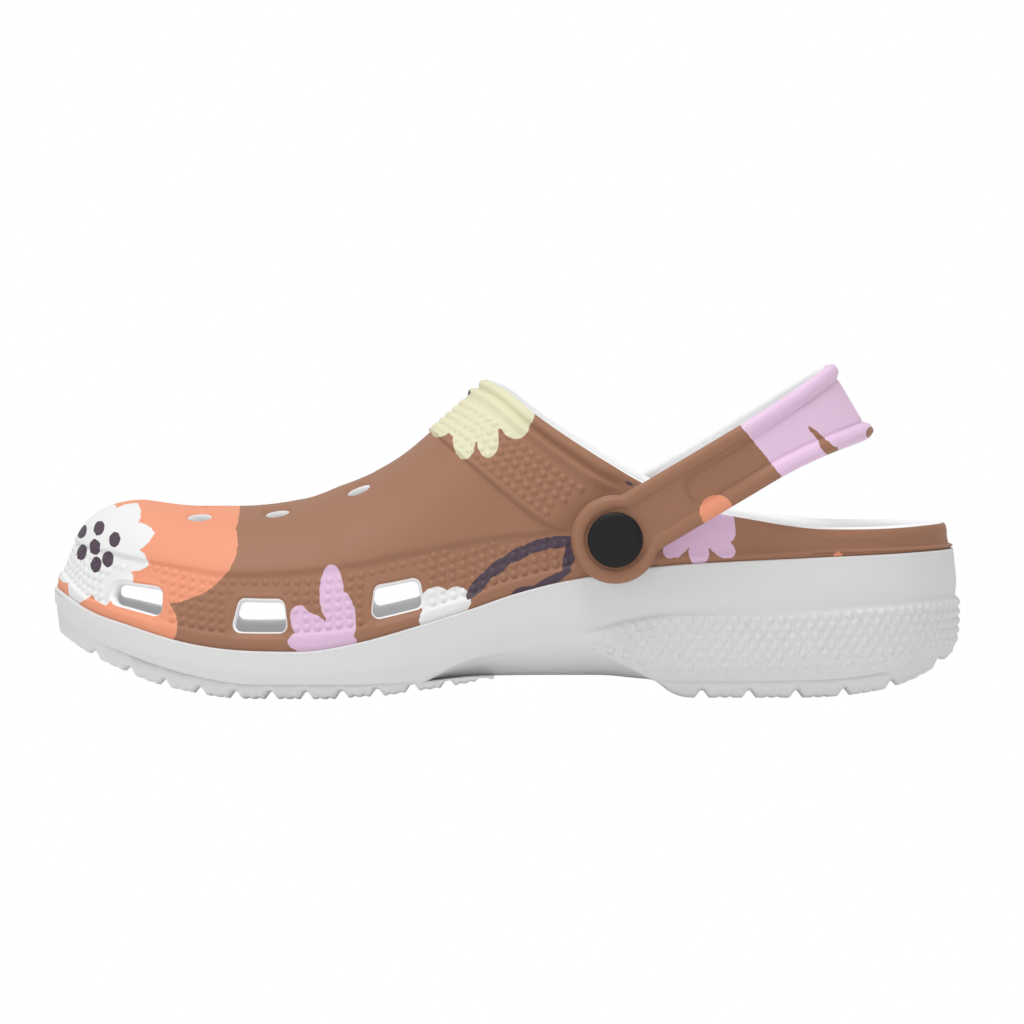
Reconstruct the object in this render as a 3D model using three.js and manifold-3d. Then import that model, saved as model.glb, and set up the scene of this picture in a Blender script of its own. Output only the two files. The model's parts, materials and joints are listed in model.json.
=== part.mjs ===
// Moulded foam clog for the left foot, with a heel strap that swings on two rivets.
// Millimetres. Toe towards -X, heel +X, outer (lateral) side -Y, inner (medial) side +Y, +Z up.
// The origin lies on the ground, under the middle of the whole object.
import * as THREE from 'three';
import { ParametricGeometry } from 'three/addons/geometries/ParametricGeometry.js';
import { mergeGeometries, mergeVertices } from 'three/addons/utils/BufferGeometryUtils.js';
import Module from 'manifold-3d';

const wasm = await Module();
wasm.setup();

// ---- driving dimensions, millimetres and degrees ----
const shoeLength = 270;
const forefootWidth = 104;
const domeScale = 1;
const soleScale = 1;
const clearance = 0.3;
const treadGap = 0.5;

const upperWall = 4;
const upperRoof = 3.5;
const upperInset = 1;
const heelDrawnIn = 1.5;
const heelDrawnFrom = 88;
const heelDrawnTo = 99;

const trayRim = 6.5;
const trayFoot = 8.5;
const footbedThickness = 3.3;

const pivotAlong = 167.4;
const pivotHeight = 47.3;
const pivotStandOff = 1;
const seatRadius = 9;
const seatThickness = 7;

const strapThickness = 4.5;
const strapReach = 81.7;
const strapStraight = 48;
const strapAbove = 10.3;
const strapBelow = 9.3;
const strapFlareAbove = 11.2;
const strapFlareBelow = 14.4;
const strapAngle = 30.7;
const strapBendLead = 8;
const armShare = 0.34;
const strapSteps = 54;
const earRadius = 13.1;
const shankRadius = 3.5;
const capRadius = 8.2;
const capThickness = 2.6;
const backRadius = 7.5;
const backThickness = 3.2;
const backSocketDepth = 2.2;

const lugNotchDepth = 2;
const lugNotchWidth = 4;
const notchShare = 0.5;
const notchOverrun = 12;
const frontLugPitch = 10.6;
const frontLugCount = 12;
const frontLugStart = 11.5;
const heelLugPitch = 14.3;
const heelLugCount = 6;
const heelLugStart = 193.5;
const frontPadEnd = 46;
const heelPadStart = 65.5;

const ventRadius = 3.4;

// ---- stations: percent of the length from the toe, with a height or a share ----
const stations = [0, 2.9, 9.9, 20.3, 32.1, 44.3, 57.3, 70.3, 82.5, 92.7, 98.3, 100];
const lateralShares = [0.13, -0.33, -0.71, -0.93, -1, -0.935, -0.825, -0.785, -0.775, -0.655, -0.36, -0.02];
const medialShares = [0.13, 0.56, 0.85, 0.995, 0.965, 0.855, 0.76, 0.74, 0.75, 0.62, 0.33, -0.02];

const soleTop = heightLine(soleScale, [[0, 31], [4, 24.8], [7.7, 21.6], [14, 16.7], [19.6, 14.4],
  [27.2, 13.9], [33.5, 16.4], [40.5, 21.6], [46.3, 26.5], [51, 30.8], [56.5, 34.5], [66.2, 38.7],
  [83.4, 41.3], [100, 43]]);
const wallCrease = heightLine(soleScale, [[0, 25.5], [2.2, 20], [8.6, 12.7], [15.4, 7.2], [22.1, 4.6],
  [32.3, 4.6], [40.8, 8.1], [53.2, 17.7], [58.3, 19.1], [63.8, 23.6], [68, 25.4], [80.4, 25.7],
  [100, 29.3]]);
const wallTurn = heightLine(soleScale, [[0, 20], [8, 9.5], [17, 3.5], [35, 2.5], [40.5, 4.5],
  [44.7, 9.9], [49, 12.8], [58.9, 14.2], [62.7, 10.5], [67, 4.5], [72, 3], [85, 3], [92, 6], [100, 18]]);
const bodyBottom = heightLine(soleScale, [[0, 24.5], [2.2, 19.4], [8.6, 12.2], [15.4, 6.9], [22.1, 4.4],
  [32.3, 4.4], [40.8, 5], [47, 6.3], [60, 6.4], [65, 5.3], [70, 4.6], [84, 5], [90, 6.3], [95, 9.5],
  [100, 18]]);
const treadBottom = heightLine(soleScale, [[0, 18], [3.8, 11.9], [7.3, 7.7], [11.1, 4], [14.8, 1.8],
  [18.5, 0.3], [22.3, 0], [30, 0], [33.2, 0.6], [36.7, 1.1], [39.4, 2.2], [42.1, 3], [44.4, 3.7],
  [47.5, 4.4], [53, 5], [60, 5], [65, 3.6], [67.5, 0.8], [70, 0], [83.4, 0], [90.2, 1.3], [95, 4.5], [100, 13]]);
const trayFloor = heightLine(soleScale, [[0, 24], [4, 19], [8, 15.5], [14, 12], [20, 10], [30, 10],
  [38, 12], [46, 17], [54, 21], [65, 24], [75, 25], [90, 25.5], [100, 27]]);
const domeRidge = heightLine(domeScale, [[9.9, 56.6], [16.2, 54.9], [20.5, 54.9], [27.9, 57.2],
  [32, 61.2], [35.3, 64.9], [38.7, 70.3], [41.7, 77], [44.3, 83.5], [46.9, 90], [49.9, 95.5],
  [53.6, 99.5], [61, 102.5], [72, 103], [86, 103]]);
const domeLean = heightLine(1, [[0, 0.45], [20, 0.2], [38, 0.3], [48, 0.4], [60, 0.12], [80, 0.2],
  [100, 0.4]]);
const throatStation = 47.9;
const rimShare = heightLine(1, [[47.9, 1], [49.9, 0.909], [53.4, 0.741], [59.3, 0.536], [64.2, 0.395],
  [69.2, 0.278], [72.7, 0.22], [77.7, 0.171], [81.3, 0.139], [85, 0.117], [93.6, 0.105],
  [100, 0.108]]);

// ---- openings in the upper: corners as [percent of length, height] ----
const portCorners = [
  [[6.2, 27.2], [7.4, 35.2], [12.5, 32.6], [12.3, 23.6]],
  [[19.6, 20], [20.9, 30], [25.4, 29.2], [26.1, 19.8]],
  [[34.9, 23.2], [35.6, 32.8], [40.4, 35.6], [40.9, 27]],
];
const portCornerRadius = 3.2;
const ventRows = [[14.9, 3], [20.3, 1], [24.7, 3], [29.2, 1], [33.8, 3]];
const ventSpread = 16;
const drillLength = 30;
const drillSink = 5;

// Smooth line through [station, value] points: cubic pieces whose slopes come from the neighbours,
// level at each high or low point.
function heightLine(scale, points) {
  const slope = points.map((p, i) => {
    const a = points[Math.max(i - 1, 0)];
    const b = points[Math.min(i + 1, points.length - 1)];
    const turns = (b[1] - p[1]) * (p[1] - a[1]) <= 0;
    return turns && a !== p && b !== p ? 0 : (b[1] - a[1]) / (b[0] - a[0]);
  });
  return (station) => {
    const last = points.length - 1;
    if (station <= points[0][0]) return scale * points[0][1];
    if (station >= points[last][0]) return scale * points[last][1];
    const i = points.findIndex((p) => p[0] > station) - 1;
    const span = points[i + 1][0] - points[i][0];
    const f = (station - points[i][0]) / span;
    const g = 1 - f;
    const ends = points[i][1] * g * g * (1 + 2 * f) + points[i + 1][1] * f * f * (1 + 2 * g);
    return scale * (ends + span * f * g * (slope[i] * g - slope[i + 1] * f));
  };
}

// ---- the plan outline of the sole, a closed curve through the stations ----
const along = (station) => (station / 100 - 0.5) * shoeLength;
const stationAt = (x) => (x / shoeLength + 0.5) * 100;
const planPoint = (station, share) => new THREE.Vector3(along(station), share * forefootWidth / 2, 0);
const outline = new THREE.CatmullRomCurve3([
  ...stations.map((s, i) => planPoint(s, lateralShares[i])),
  ...stations.map((s, i) => planPoint(s, medialShares[i])).slice(1, -1).reverse(),
], true, 'catmullrom', 0.5);

// Edge point and outward direction at t, 0 at the toe and 1 at the heel; side is -1 or 1 (medial).
function edge(side, t) {
  const turn = side < 0 ? t / 2 : 1 - t / 2;
  const point = outline.getPoint(turn % 1);
  const tangent = outline.getTangent(turn % 1);
  return { point, outward: new THREE.Vector3(tangent.y, -tangent.x, 0) };
}

// Middle of the foot at t. It is drawn in from both tips, so sections fan round the toe and heel.
function spine(t) {
  const a = edge(-1, t).point;
  const b = edge(1, t).point;
  const s = stationAt((a.x + b.x) / 2);
  const toe = Math.max(0, (28 - s) / 28);
  const heel = Math.max(0, (s - 72) / 28);
  const drawn = s + 9.9 * toe ** 2.2 - 14 * heel ** 2.2;
  return new THREE.Vector3(along(drawn), (a.y + b.y) / 2, 0);
}

// ---- turning functions and geometries into solids ----
function toSolid(geometry) {
  const bare = geometry.clone();
  bare.deleteAttribute('normal');
  bare.deleteAttribute('uv');
  const merged = mergeVertices(bare, 1e-3);
  const index = Array.from(merged.index.array);
  const faces = [];
  for (let i = 0; i < index.length; i += 3) {
    const [a, b, c] = index.slice(i, i + 3);
    if (a !== b && b !== c && c !== a) faces.push(a, b, c);
  }
  const triVerts = new Uint32Array(faces);
  const vertProperties = new Float32Array(merged.attributes.position.array);
  const solid = new wasm.Manifold(new wasm.Mesh({ numProp: 3, vertProperties, triVerts }));
  if (solid.volume() < 0) throw new Error('a surface is inside out');
  return solid;
}

function toGeometry(solid) {
  const mesh = solid.getMesh();
  const geometry = new THREE.BufferGeometry();
  geometry.setAttribute('position', new THREE.BufferAttribute(new Float32Array(mesh.vertProperties), 3));
  geometry.setIndex(new THREE.BufferAttribute(new Uint32Array(mesh.triVerts), 1));
  geometry.computeVertexNormals();
  return geometry;
}

// A closed body from rings round the foot. ring(k, t, side) gives each ring's point; the first and
// last ring lie on the spine, where the two sides meet.
function ringBody(ringCount, columns, ring) {
  const surface = (u, v, target) => {
    const turn = Math.round(u * columns * 2);
    const side = turn <= columns ? -1 : 1;
    const t = side < 0 ? turn / columns : 2 - turn / columns;
    target.copy(ring(Math.round(v * (ringCount - 1)), t, side));
  };
  return new ParametricGeometry(surface, columns * 2, ringCount - 1);
}

// Point at an inset from the outline at t, at the height of the line above its own station.
function inset(side, t, distance, line) {
  const { point, outward } = edge(side, t);
  const place = point.clone().addScaledVector(outward, -distance);
  return place.setZ(line(stationAt(place.x)));
}

// The same inset on the flat rim of the sole, which stays level across its width.
function rimInset(side, t, distance) {
  const place = inset(side, t, distance, soleTop);
  return place.setZ(soleTop(stationAt(edge(side, t).point.x)));
}

function onSpine(t, line) {
  const place = spine(t);
  return place.setZ(line(stationAt(place.x)));
}

// ---- the dome of the upper: t along the foot, share 0 at the sole and 1 at the ridge ----
function domePoint(side, t, share, drawnIn, lowered) {
  const { point, outward } = edge(side, t);
  const footStation = stationAt(point.x);
  const heel = heelDrawnIn * THREE.MathUtils.smoothstep(footStation, heelDrawnFrom, heelDrawnTo);
  const foot = point.clone().addScaledVector(outward, -upperInset - heel - drawnIn);
  const crown = spine(t);
  const crownStation = stationAt(crown.x);
  const bottom = soleTop(footStation) + clearance;
  const top = domeRidge(crownStation) - lowered;
  const lean = 1 - domeLean(footStation) * share * (1 - share);
  const spread = share >= 1 ? 0 : Math.sqrt(1 - share ** 2.4) * lean;
  const place = crown.clone().lerp(foot, spread);
  return place.setZ(bottom + (top - bottom) * share);
}

// Column positions for one side: even along the vamp, then closing up behind the throat.
const vampColumns = 18;
const collarColumns = 20;
const upperColumns = vampColumns + collarColumns;
const throatTurn = turnAtStation(throatStation);

function turnAtStation(station) {
  let low = 0;
  let high = 1;
  for (let i = 0; i < 40; i += 1) {
    const middle = (low + high) / 2;
    if (stationAt(edge(-1, middle).point.x) < station) low = middle;
    else high = middle;
  }
  return (low + high) / 2;
}

function upperTurn(column) {
  if (column <= vampColumns) return throatTurn * column / vampColumns;
  return throatTurn + (1 - throatTurn) * ((column - vampColumns) / collarColumns) ** 1.7;
}

function topShare(column, t) {
  return column <= vampColumns ? 1 : rimShare(stationAt(edge(-1, t).point.x));
}

// One wall of the upper, from the sole to the ridge or the rim, or back down when falling is true.
function upperSurface(drawnIn, lowered, falling) {
  const rows = 8;
  return new ParametricGeometry((u, v, target) => {
    const turn = Math.round(u * upperColumns * 2);
    const side = turn <= upperColumns ? -1 : 1;
    const column = side < 0 ? turn : upperColumns * 2 - turn;
    const t = upperTurn(column);
    const climb = falling ? 1 - v : v;
    const share = Math.sin(climb * Math.PI / 2) * topShare(column, t);
    target.copy(domePoint(side, t, share, drawnIn, lowered));
  }, upperColumns * 2, rows);
}

// The strip that joins the two walls along the rim of the collar or along the foot of the upper.
function upperStrip(firstColumn, share) {
  const count = 2 * (upperColumns - firstColumn);
  return new ParametricGeometry((u, v, target) => {
    const turn = firstColumn + Math.round(u * count);
    const side = turn <= upperColumns ? -1 : 1;
    const column = side < 0 ? turn : upperColumns * 2 - turn;
    const t = upperTurn(column);
    const height = share * topShare(column, t);
    const inner = share > 0 ? v : 1 - v;
    target.copy(domePoint(side, t, height, inner * upperWall, inner * upperRoof));
  }, count, 1);
}

function domeSolid() {
  return toSolid(mergeGeometries([
    upperSurface(0, 0, false),
    upperSurface(upperWall, upperRoof, true),
    upperStrip(vampColumns, 1),
    upperStrip(0, 0),
  ]));
}

// ---- cutters ----
// A quadrilateral with round corners, pushed through one side wall.
function portCutter(side, corners) {
  const points = corners.map(([s, z]) => new THREE.Vector2(along(s), z * soleScale));
  const shape = new THREE.Shape();
  points.forEach((corner, i) => {
    const before = points[(i + 3) % 4];
    const after = points[(i + 1) % 4];
    const start = corner.clone().add(before.clone().sub(corner).setLength(portCornerRadius));
    const end = corner.clone().add(after.clone().sub(corner).setLength(portCornerRadius));
    if (i === 0) shape.moveTo(start.x, start.y);
    else shape.lineTo(start.x, start.y);
    shape.quadraticCurveTo(corner.x, corner.y, end.x, end.y);
  });
  shape.closePath();
  const reach = forefootWidth / 2;
  const cutter = new THREE.ExtrudeGeometry(shape, { depth: reach, bevelEnabled: false, curveSegments: 3 });
  cutter.rotateX(Math.PI / 2);
  cutter.translate(0, side < 0 ? -reach * 0.1 : reach * 1.1, 0);
  return toSolid(cutter);
}

function ventCutters() {
  const cutters = [];
  ventRows.forEach(([station, count]) => {
    for (let k = 0; k < count; k += 1) {
      const offset = (k - (count - 1) / 2) * ventSpread;
      const drill = new THREE.CylinderGeometry(ventRadius, ventRadius, drillLength, 10);
      drill.rotateX(Math.PI / 2);
      const middle = spine(turnAtStation(station)).y;
      drill.translate(along(station), middle + offset, domeRidge(station) - drillSink);
      cutters.push(toSolid(drill));
    }
  });
  return cutters;
}

// ---- pivots ----
const pivotX = pivotAlong - shoeLength / 2;
const pivotTurn = turnAtStation(stationAt(pivotX));
const pivotMiddle = spine(pivotTurn).y;
const pivotSeat = Math.abs(edge(-1, pivotTurn).point.y - pivotMiddle) + pivotStandOff;
const strapGap = pivotSeat + clearance;
const strapOuter = strapGap + strapThickness;

// Round bar along Y between two distances from the middle of the foot.
function crossBar(side, radius, from, to, segments) {
  const bar = new THREE.CylinderGeometry(radius, radius, to - from, segments);
  bar.translate(pivotX, pivotMiddle + side * (from + to) / 2, pivotHeight);
  return toSolid(bar);
}

function pivotSeatSolid(side) {
  return crossBar(side, seatRadius, pivotSeat - seatThickness, pivotSeat, 28);
}

// ---- the nodes ----
function makeUpper() {
  let upper = domeSolid();
  for (const side of [-1, 1]) {
    for (const corners of portCorners) upper = upper.subtract(portCutter(side, corners));
    upper = upper.add(pivotSeatSolid(side));
    upper = upper.subtract(crossBar(side, earRadius + clearance, pivotSeat, strapOuter, 40));
    upper = upper.subtract(crossBar(side, backRadius + clearance, 0, pivotSeat - seatThickness, 28));
    upper = upper.subtract(crossBar(side, shankRadius + clearance, 0, strapOuter, 20));
  }
  for (const drill of ventCutters()) upper = upper.subtract(drill);
  return toGeometry(upper);
}

const soleColumns = 30;

function makeMidsole() {
  const higher = (line, other, gap) => (s) => Math.max(line(s), other(s) + gap);
  const turnLine = higher(wallTurn, bodyBottom, 0.4);
  const creaseLine = higher(wallCrease, turnLine, 1.5);
  const widestLine = (s) => (creaseLine(s) + soleTop(s)) / 2;
  const lipLine = (s) => trayFloor(s) + 1.5;
  const rings = [
    (side, t) => onSpine(t, bodyBottom),
    (side, t) => inset(side, t, 14, bodyBottom),
    (side, t) => inset(side, t, 3, turnLine),
    (side, t) => inset(side, t, 0.6, creaseLine),
    (side, t) => inset(side, t, 0, widestLine),
    (side, t) => rimInset(side, t, upperInset),
    (side, t) => rimInset(side, t, trayRim),
    (side, t) => inset(side, t, trayFoot, lipLine),
    (side, t) => inset(side, t, 14, trayFloor),
    (side, t) => onSpine(t, trayFloor),
  ];
  const body = ringBody(rings.length, soleColumns, (row, t, side) => rings[row](side, t));
  return toGeometry(toSolid(body));
}

function makeFootbed() {
  const under = (s) => trayFloor(s) + clearance;
  const underEdge = (s) => trayFloor(s) + 1.5 + clearance;
  const over = (s) => trayFloor(s) + footbedThickness;
  const overEdge = (s) => trayFloor(s) + footbedThickness + 0.8;
  const rings = [
    (side, t) => onSpine(t, under),
    (side, t) => inset(side, t, 14.3, under),
    (side, t) => inset(side, t, trayFoot + 0.6, underEdge),
    (side, t) => inset(side, t, trayFoot + 0.6, overEdge),
    (side, t) => inset(side, t, 15, over),
    (side, t) => onSpine(t, over),
  ];
  const body = ringBody(rings.length, soleColumns, (row, t, side) => rings[row](side, t));
  return toGeometry(toSolid(body));
}

// The whole tread between the body of the sole and the ground, before it is cut in two.
function treadSolid() {
  const top = (s) => bodyBottom(s) - treadGap;
  const middle = (s) => (bodyBottom(s) + treadBottom(s)) / 2;
  const rings = [
    (side, t) => onSpine(t, treadBottom),
    (side, t) => inset(side, t, 14, treadBottom),
    (side, t) => inset(side, t, 7, treadBottom),
    (side, t) => inset(side, t, 3.4, middle),
    (side, t) => inset(side, t, 3, top),
    (side, t) => inset(side, t, 14, top),
    (side, t) => onSpine(t, top),
  ];
  return toSolid(ringBody(rings.length, soleColumns, (row, t, side) => rings[row](side, t)));
}

function lengthBlock(fromStation, toStation) {
  const from = along(fromStation);
  const to = along(toStation);
  const block = new THREE.BoxGeometry(to - from, forefootWidth * 1.2, 80);
  block.translate((from + to) / 2, 0, 20);
  return toSolid(block);
}

// A groove across the tread with sloping sides, narrower at its roof.
function notchCutter(distance) {
  const x = distance - shoeLength / 2;
  const floor = treadBottom(stationAt(x));
  const depth = Math.min(lugNotchDepth, (bodyBottom(stationAt(x)) - treadGap - floor) * notchShare);
  const shape = new THREE.Shape();
  shape.moveTo(-lugNotchWidth / 2, -notchOverrun);
  shape.lineTo(lugNotchWidth / 2, -notchOverrun);
  shape.lineTo(lugNotchWidth / 3, depth);
  shape.lineTo(-lugNotchWidth / 3, depth);
  shape.closePath();
  const cutter = new THREE.ExtrudeGeometry(shape, { depth: forefootWidth * 1.2, bevelEnabled: false });
  cutter.rotateX(Math.PI / 2);
  cutter.translate(x, forefootWidth * 0.6, floor);
  return toSolid(cutter);
}

function makeTread(fromStation, toStation, start, pitch, count) {
  let tread = treadSolid().intersect(lengthBlock(fromStation, toStation));
  for (let k = 0; k < count; k += 1) tread = tread.subtract(notchCutter(start + k * pitch));
  return toGeometry(tread);
}

// The strap lies along its own X from the pivots; its width is along its own Z.
const bendStart = strapStraight - strapBendLead;

function strapHeight(reach, level, flare) {
  const round = earRadius ** 2 - reach ** 2;
  const ear = round > 0 ? Math.sqrt(round) : 0;
  if (reach <= 0) return ear;
  const f = Math.max(0, (reach - strapStraight) / (strapReach - strapStraight));
  return Math.max(ear, level + (flare - level) * f * f);
}

function strapPath(u) {
  const half = strapGap + strapThickness / 2;
  const armLength = bendStart + earRadius;
  const nearEnd = Math.min(u, 1 - u);
  const side = u < 0.5 ? -1 : 1;
  if (nearEnd < armShare) {
    return { reach: -earRadius + armLength * nearEnd / armShare, y: side * half, nx: 0, ny: side };
  }
  const bend = (u - armShare) / (1 - 2 * armShare) * Math.PI;
  const depth = strapReach - strapThickness / 2 - bendStart;
  const nx = Math.sin(bend) * half;
  const ny = -Math.cos(bend) * depth;
  const size = Math.hypot(nx, ny);
  return { reach: bendStart + depth * Math.sin(bend), y: -half * Math.cos(bend), nx: nx / size, ny: ny / size };
}

function makeStrap() {
  const section = [[-1, 0.4], [-1, -0.4], [-0.8, -0.9], [-0.4, -1], [0.4, -1], [0.8, -0.9],
    [1, -0.4], [1, 0.4], [0.8, 0.9], [0.4, 1], [-0.4, 1], [-0.8, 0.9]];
  const surface = (u, v, target) => {
    const { reach, y, nx, ny } = strapPath(u);
    const [thick, wide] = section[Math.round(v * section.length) % section.length];
    const width = wide > 0 ? strapHeight(reach, strapAbove, strapFlareAbove)
      : strapHeight(reach, strapBelow, strapFlareBelow);
    const edgeSoft = Math.sign(wide) * (Math.abs(wide) < 0.5 ? 0.88 : Math.abs(wide) < 0.95 ? 0.97 : 1);
    const out = thick * strapThickness / 2;
    target.set(reach + nx * out, y + ny * out, edgeSoft * width);
  };
  let strap = toSolid(new ParametricGeometry(surface, strapSteps, section.length));
  const bore = new THREE.CylinderGeometry(shankRadius + clearance, shankRadius + clearance,
    strapOuter * 2 + 10, 24);
  strap = strap.subtract(toSolid(bore));
  return toGeometry(strap);
}

// Outer disc with a softly rounded face and the shank that runs inwards, turned about Y.
function makeCap(side) {
  const under = strapOuter + clearance;
  const tip = pivotSeat - seatThickness - clearance - backSocketDepth + clearance;
  const face = under + capThickness;
  const profile = [[0, face], [capRadius * 0.5, face], [capRadius * 0.86, face - 0.3],
    [capRadius, face - 1.1], [capRadius, under], [shankRadius, under], [shankRadius, tip], [0, tip]];
  const cap = new THREE.LatheGeometry(profile.map(([r, y]) => new THREE.Vector2(r, side * y)), 32);
  return turned(cap, side);
}

// Inner disc with a blind socket round the end of the shank.
function makeBack(side) {
  const outer = pivotSeat - seatThickness - clearance;
  const inner = outer - backThickness;
  const bore = shankRadius + clearance;
  const profile = [[0, inner], [backRadius * 0.8, inner], [backRadius, inner + 0.8], [backRadius, outer],
    [bore, outer], [bore, outer - backSocketDepth], [0, outer - backSocketDepth]];
  const back = new THREE.LatheGeometry(profile.map(([r, y]) => new THREE.Vector2(r, side * y)), 32);
  return turned(back, -side);
}

// A turned body as a geometry. Its faces are reversed where its profile runs the other way.
function turned(lathe, direction) {
  if (direction > 0) lathe.setIndex(Array.from(lathe.index.array).reverse());
  return toGeometry(toSolid(lathe));
}

// ---- finishes ----
const printedFoam = new THREE.MeshStandardMaterial({ color: 0x9c6f57, roughness: 0.7, metalness: 0 });
const whiteFoam = new THREE.MeshStandardMaterial({ color: 0xe8e8e8, roughness: 0.75, metalness: 0 });
const soleFoam = new THREE.MeshStandardMaterial({ color: 0xd6d6d6, roughness: 0.7, metalness: 0 });
const treadFoam = new THREE.MeshStandardMaterial({ color: 0xcfcfcf, roughness: 0.8, metalness: 0 });
const blackPlastic = new THREE.MeshStandardMaterial({ color: 0x232323, roughness: 0.6, metalness: 0 });

// ---- assembly ----
const clog = new THREE.Group();

function place(name, geometry, material, parent = clog) {
  const mesh = new THREE.Mesh(geometry, material);
  mesh.name = name;
  parent.add(mesh);
  return mesh;
}

place('upper_shell', makeUpper(), printedFoam);
place('midsole', makeMidsole(), soleFoam);
place('footbed', makeFootbed(), whiteFoam);
place('forefoot_outsole', makeTread(-1, frontPadEnd, frontLugStart, frontLugPitch, frontLugCount), treadFoam);
place('heel_outsole', makeTread(heelPadStart, 101, heelLugStart, heelLugPitch, heelLugCount), treadFoam);

const pivots = new THREE.Group();
pivots.position.set(pivotX, pivotMiddle, pivotHeight);
clog.add(pivots);
place('rivet_cap_lateral', makeCap(-1), blackPlastic, pivots);
place('rivet_cap_medial', makeCap(1), blackPlastic, pivots);
place('rivet_back_lateral', makeBack(-1), blackPlastic, pivots);
place('rivet_back_medial', makeBack(1), blackPlastic, pivots);

const strapSwing = new THREE.Group();
strapSwing.rotation.y = -strapAngle * Math.PI / 180;
pivots.add(strapSwing);
place('heel_strap', makeStrap(), printedFoam, strapSwing);

export default clog;
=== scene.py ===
"""Looks of the foam clog: printed upper and strap, white sole, black rivets.

Lengths are worked out in millimetres and turned into metres when a mesh is made.
Toe towards -X, outer side -Y, +Z up, as in the frame.
"""
import json

import bmesh
import bpy
import numpy as np
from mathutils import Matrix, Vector


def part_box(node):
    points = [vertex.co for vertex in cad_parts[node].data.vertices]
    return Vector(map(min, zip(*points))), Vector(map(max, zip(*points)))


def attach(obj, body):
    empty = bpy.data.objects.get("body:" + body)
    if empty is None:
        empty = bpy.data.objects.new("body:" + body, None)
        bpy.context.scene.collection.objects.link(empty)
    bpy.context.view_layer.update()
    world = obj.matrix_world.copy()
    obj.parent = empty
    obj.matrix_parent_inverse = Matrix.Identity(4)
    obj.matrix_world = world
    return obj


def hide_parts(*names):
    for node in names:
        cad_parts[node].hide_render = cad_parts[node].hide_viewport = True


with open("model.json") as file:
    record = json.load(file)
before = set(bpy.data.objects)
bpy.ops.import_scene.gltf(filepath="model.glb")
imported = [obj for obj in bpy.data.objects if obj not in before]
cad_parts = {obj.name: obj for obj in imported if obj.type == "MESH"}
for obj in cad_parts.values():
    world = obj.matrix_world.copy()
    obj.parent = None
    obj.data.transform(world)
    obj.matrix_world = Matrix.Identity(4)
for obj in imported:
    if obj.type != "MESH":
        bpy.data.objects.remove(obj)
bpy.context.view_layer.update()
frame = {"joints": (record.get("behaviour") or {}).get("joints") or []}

MM = 0.001
SHELL = "shell"
STRAP = "strap"


# ---- sizes taken from the frame ----
sole_low, sole_high = (np.array(corner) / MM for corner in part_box("midsole"))
cap_low, cap_high = (np.array(corner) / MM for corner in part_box("rivet_cap_lateral"))
strap_low, strap_high = (np.array(corner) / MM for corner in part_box("heel_strap"))
LENGTH = sole_high[0] - sole_low[0]
CAP_RADIUS = (cap_high[0] - cap_low[0]) / 2
STRAP_MIDDLE = (strap_low[1] + strap_high[1]) / 2
STRAP_HALF = (strap_high[1] - strap_low[1]) / 2
PIVOT = np.array(frame["joints"][0]["pos_m"]) / MM


# ---- sizes that are the CAD model's own ----
BALL_WIDTH = 104.0
STRAP_THICK = 4.5
STRAP_ANGLE = np.radians(30.7)
STRAP_REACH = 81.7
STRAP_ABOVE = 10.3
STRAP_BELOW = 9.3
STRAP_FLARE_ABOVE = 11.2
STRAP_FLARE_BELOW = 14.6
EAR_RADIUS = 13.1

UPPER_INSET = 1.0
HEEL_DRAWN = 1.5
UPPER_WALL = 4.0
UPPER_ROOF = 3.5
CLEARANCE = 0.3


# ---- small helpers ----
def smooth(value, low, high):
    """0 below low, 1 above high and an even S between."""
    f = np.clip((value - low) / (high - low), 0, 1)
    return f * f * (3 - 2 * f)


def unit(vectors, least=0.0):
    """Vectors brought to length 1, with lengths under least taken as least."""
    return vectors / np.maximum(np.linalg.norm(vectors, axis=-1, keepdims=True), least)


def circle(count):
    """Angles of a full turn in even steps."""
    return np.linspace(0, 2 * np.pi, count, endpoint=False)


def at(place, values):
    """Values of a row at fractional places."""
    return np.interp(place, np.arange(len(values)), values)


# ---- lines along the foot: percent of the length from the toe, and a height or a share ----
def line(points):
    """Smooth line through [station, value] points.

    Cubic pieces; each slope is that of the chord between its neighbours, level at highs and lows.
    """
    xs, ys = np.array(points, float).T
    slope = np.empty(len(xs))
    slope[1:-1] = (ys[2:] - ys[:-2]) / (xs[2:] - xs[:-2])
    slope[0] = (ys[1] - ys[0]) / (xs[1] - xs[0])
    slope[-1] = (ys[-1] - ys[-2]) / (xs[-1] - xs[-2])
    slope[1:-1][(ys[2:] - ys[1:-1]) * (ys[1:-1] - ys[:-2]) <= 0] = 0

    def value(station):
        s = np.clip(station, xs[0], xs[-1])
        i = np.clip(np.searchsorted(xs, s, side="right") - 1, 0, len(xs) - 2)
        span = xs[i + 1] - xs[i]
        f = (s - xs[i]) / span
        g = 1 - f
        ends = ys[i] * g * g * (1 + 2 * f) + ys[i + 1] * f * f * (1 + 2 * g)
        return ends + span * f * g * (slope[i] * g - slope[i + 1] * f)

    return value


STATIONS = [0, 2.9, 9.9, 20.3, 32.1, 44.3, 57.3, 70.3, 82.5, 92.7, 98.3, 100]
LATERAL = [0.13, -0.33, -0.71, -0.93, -1, -0.935, -0.825, -0.785, -0.775, -0.655, -0.36, -0.02]
MEDIAL = [0.13, 0.56, 0.85, 0.995, 0.965, 0.855, 0.76, 0.74, 0.75, 0.62, 0.33, -0.02]

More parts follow.
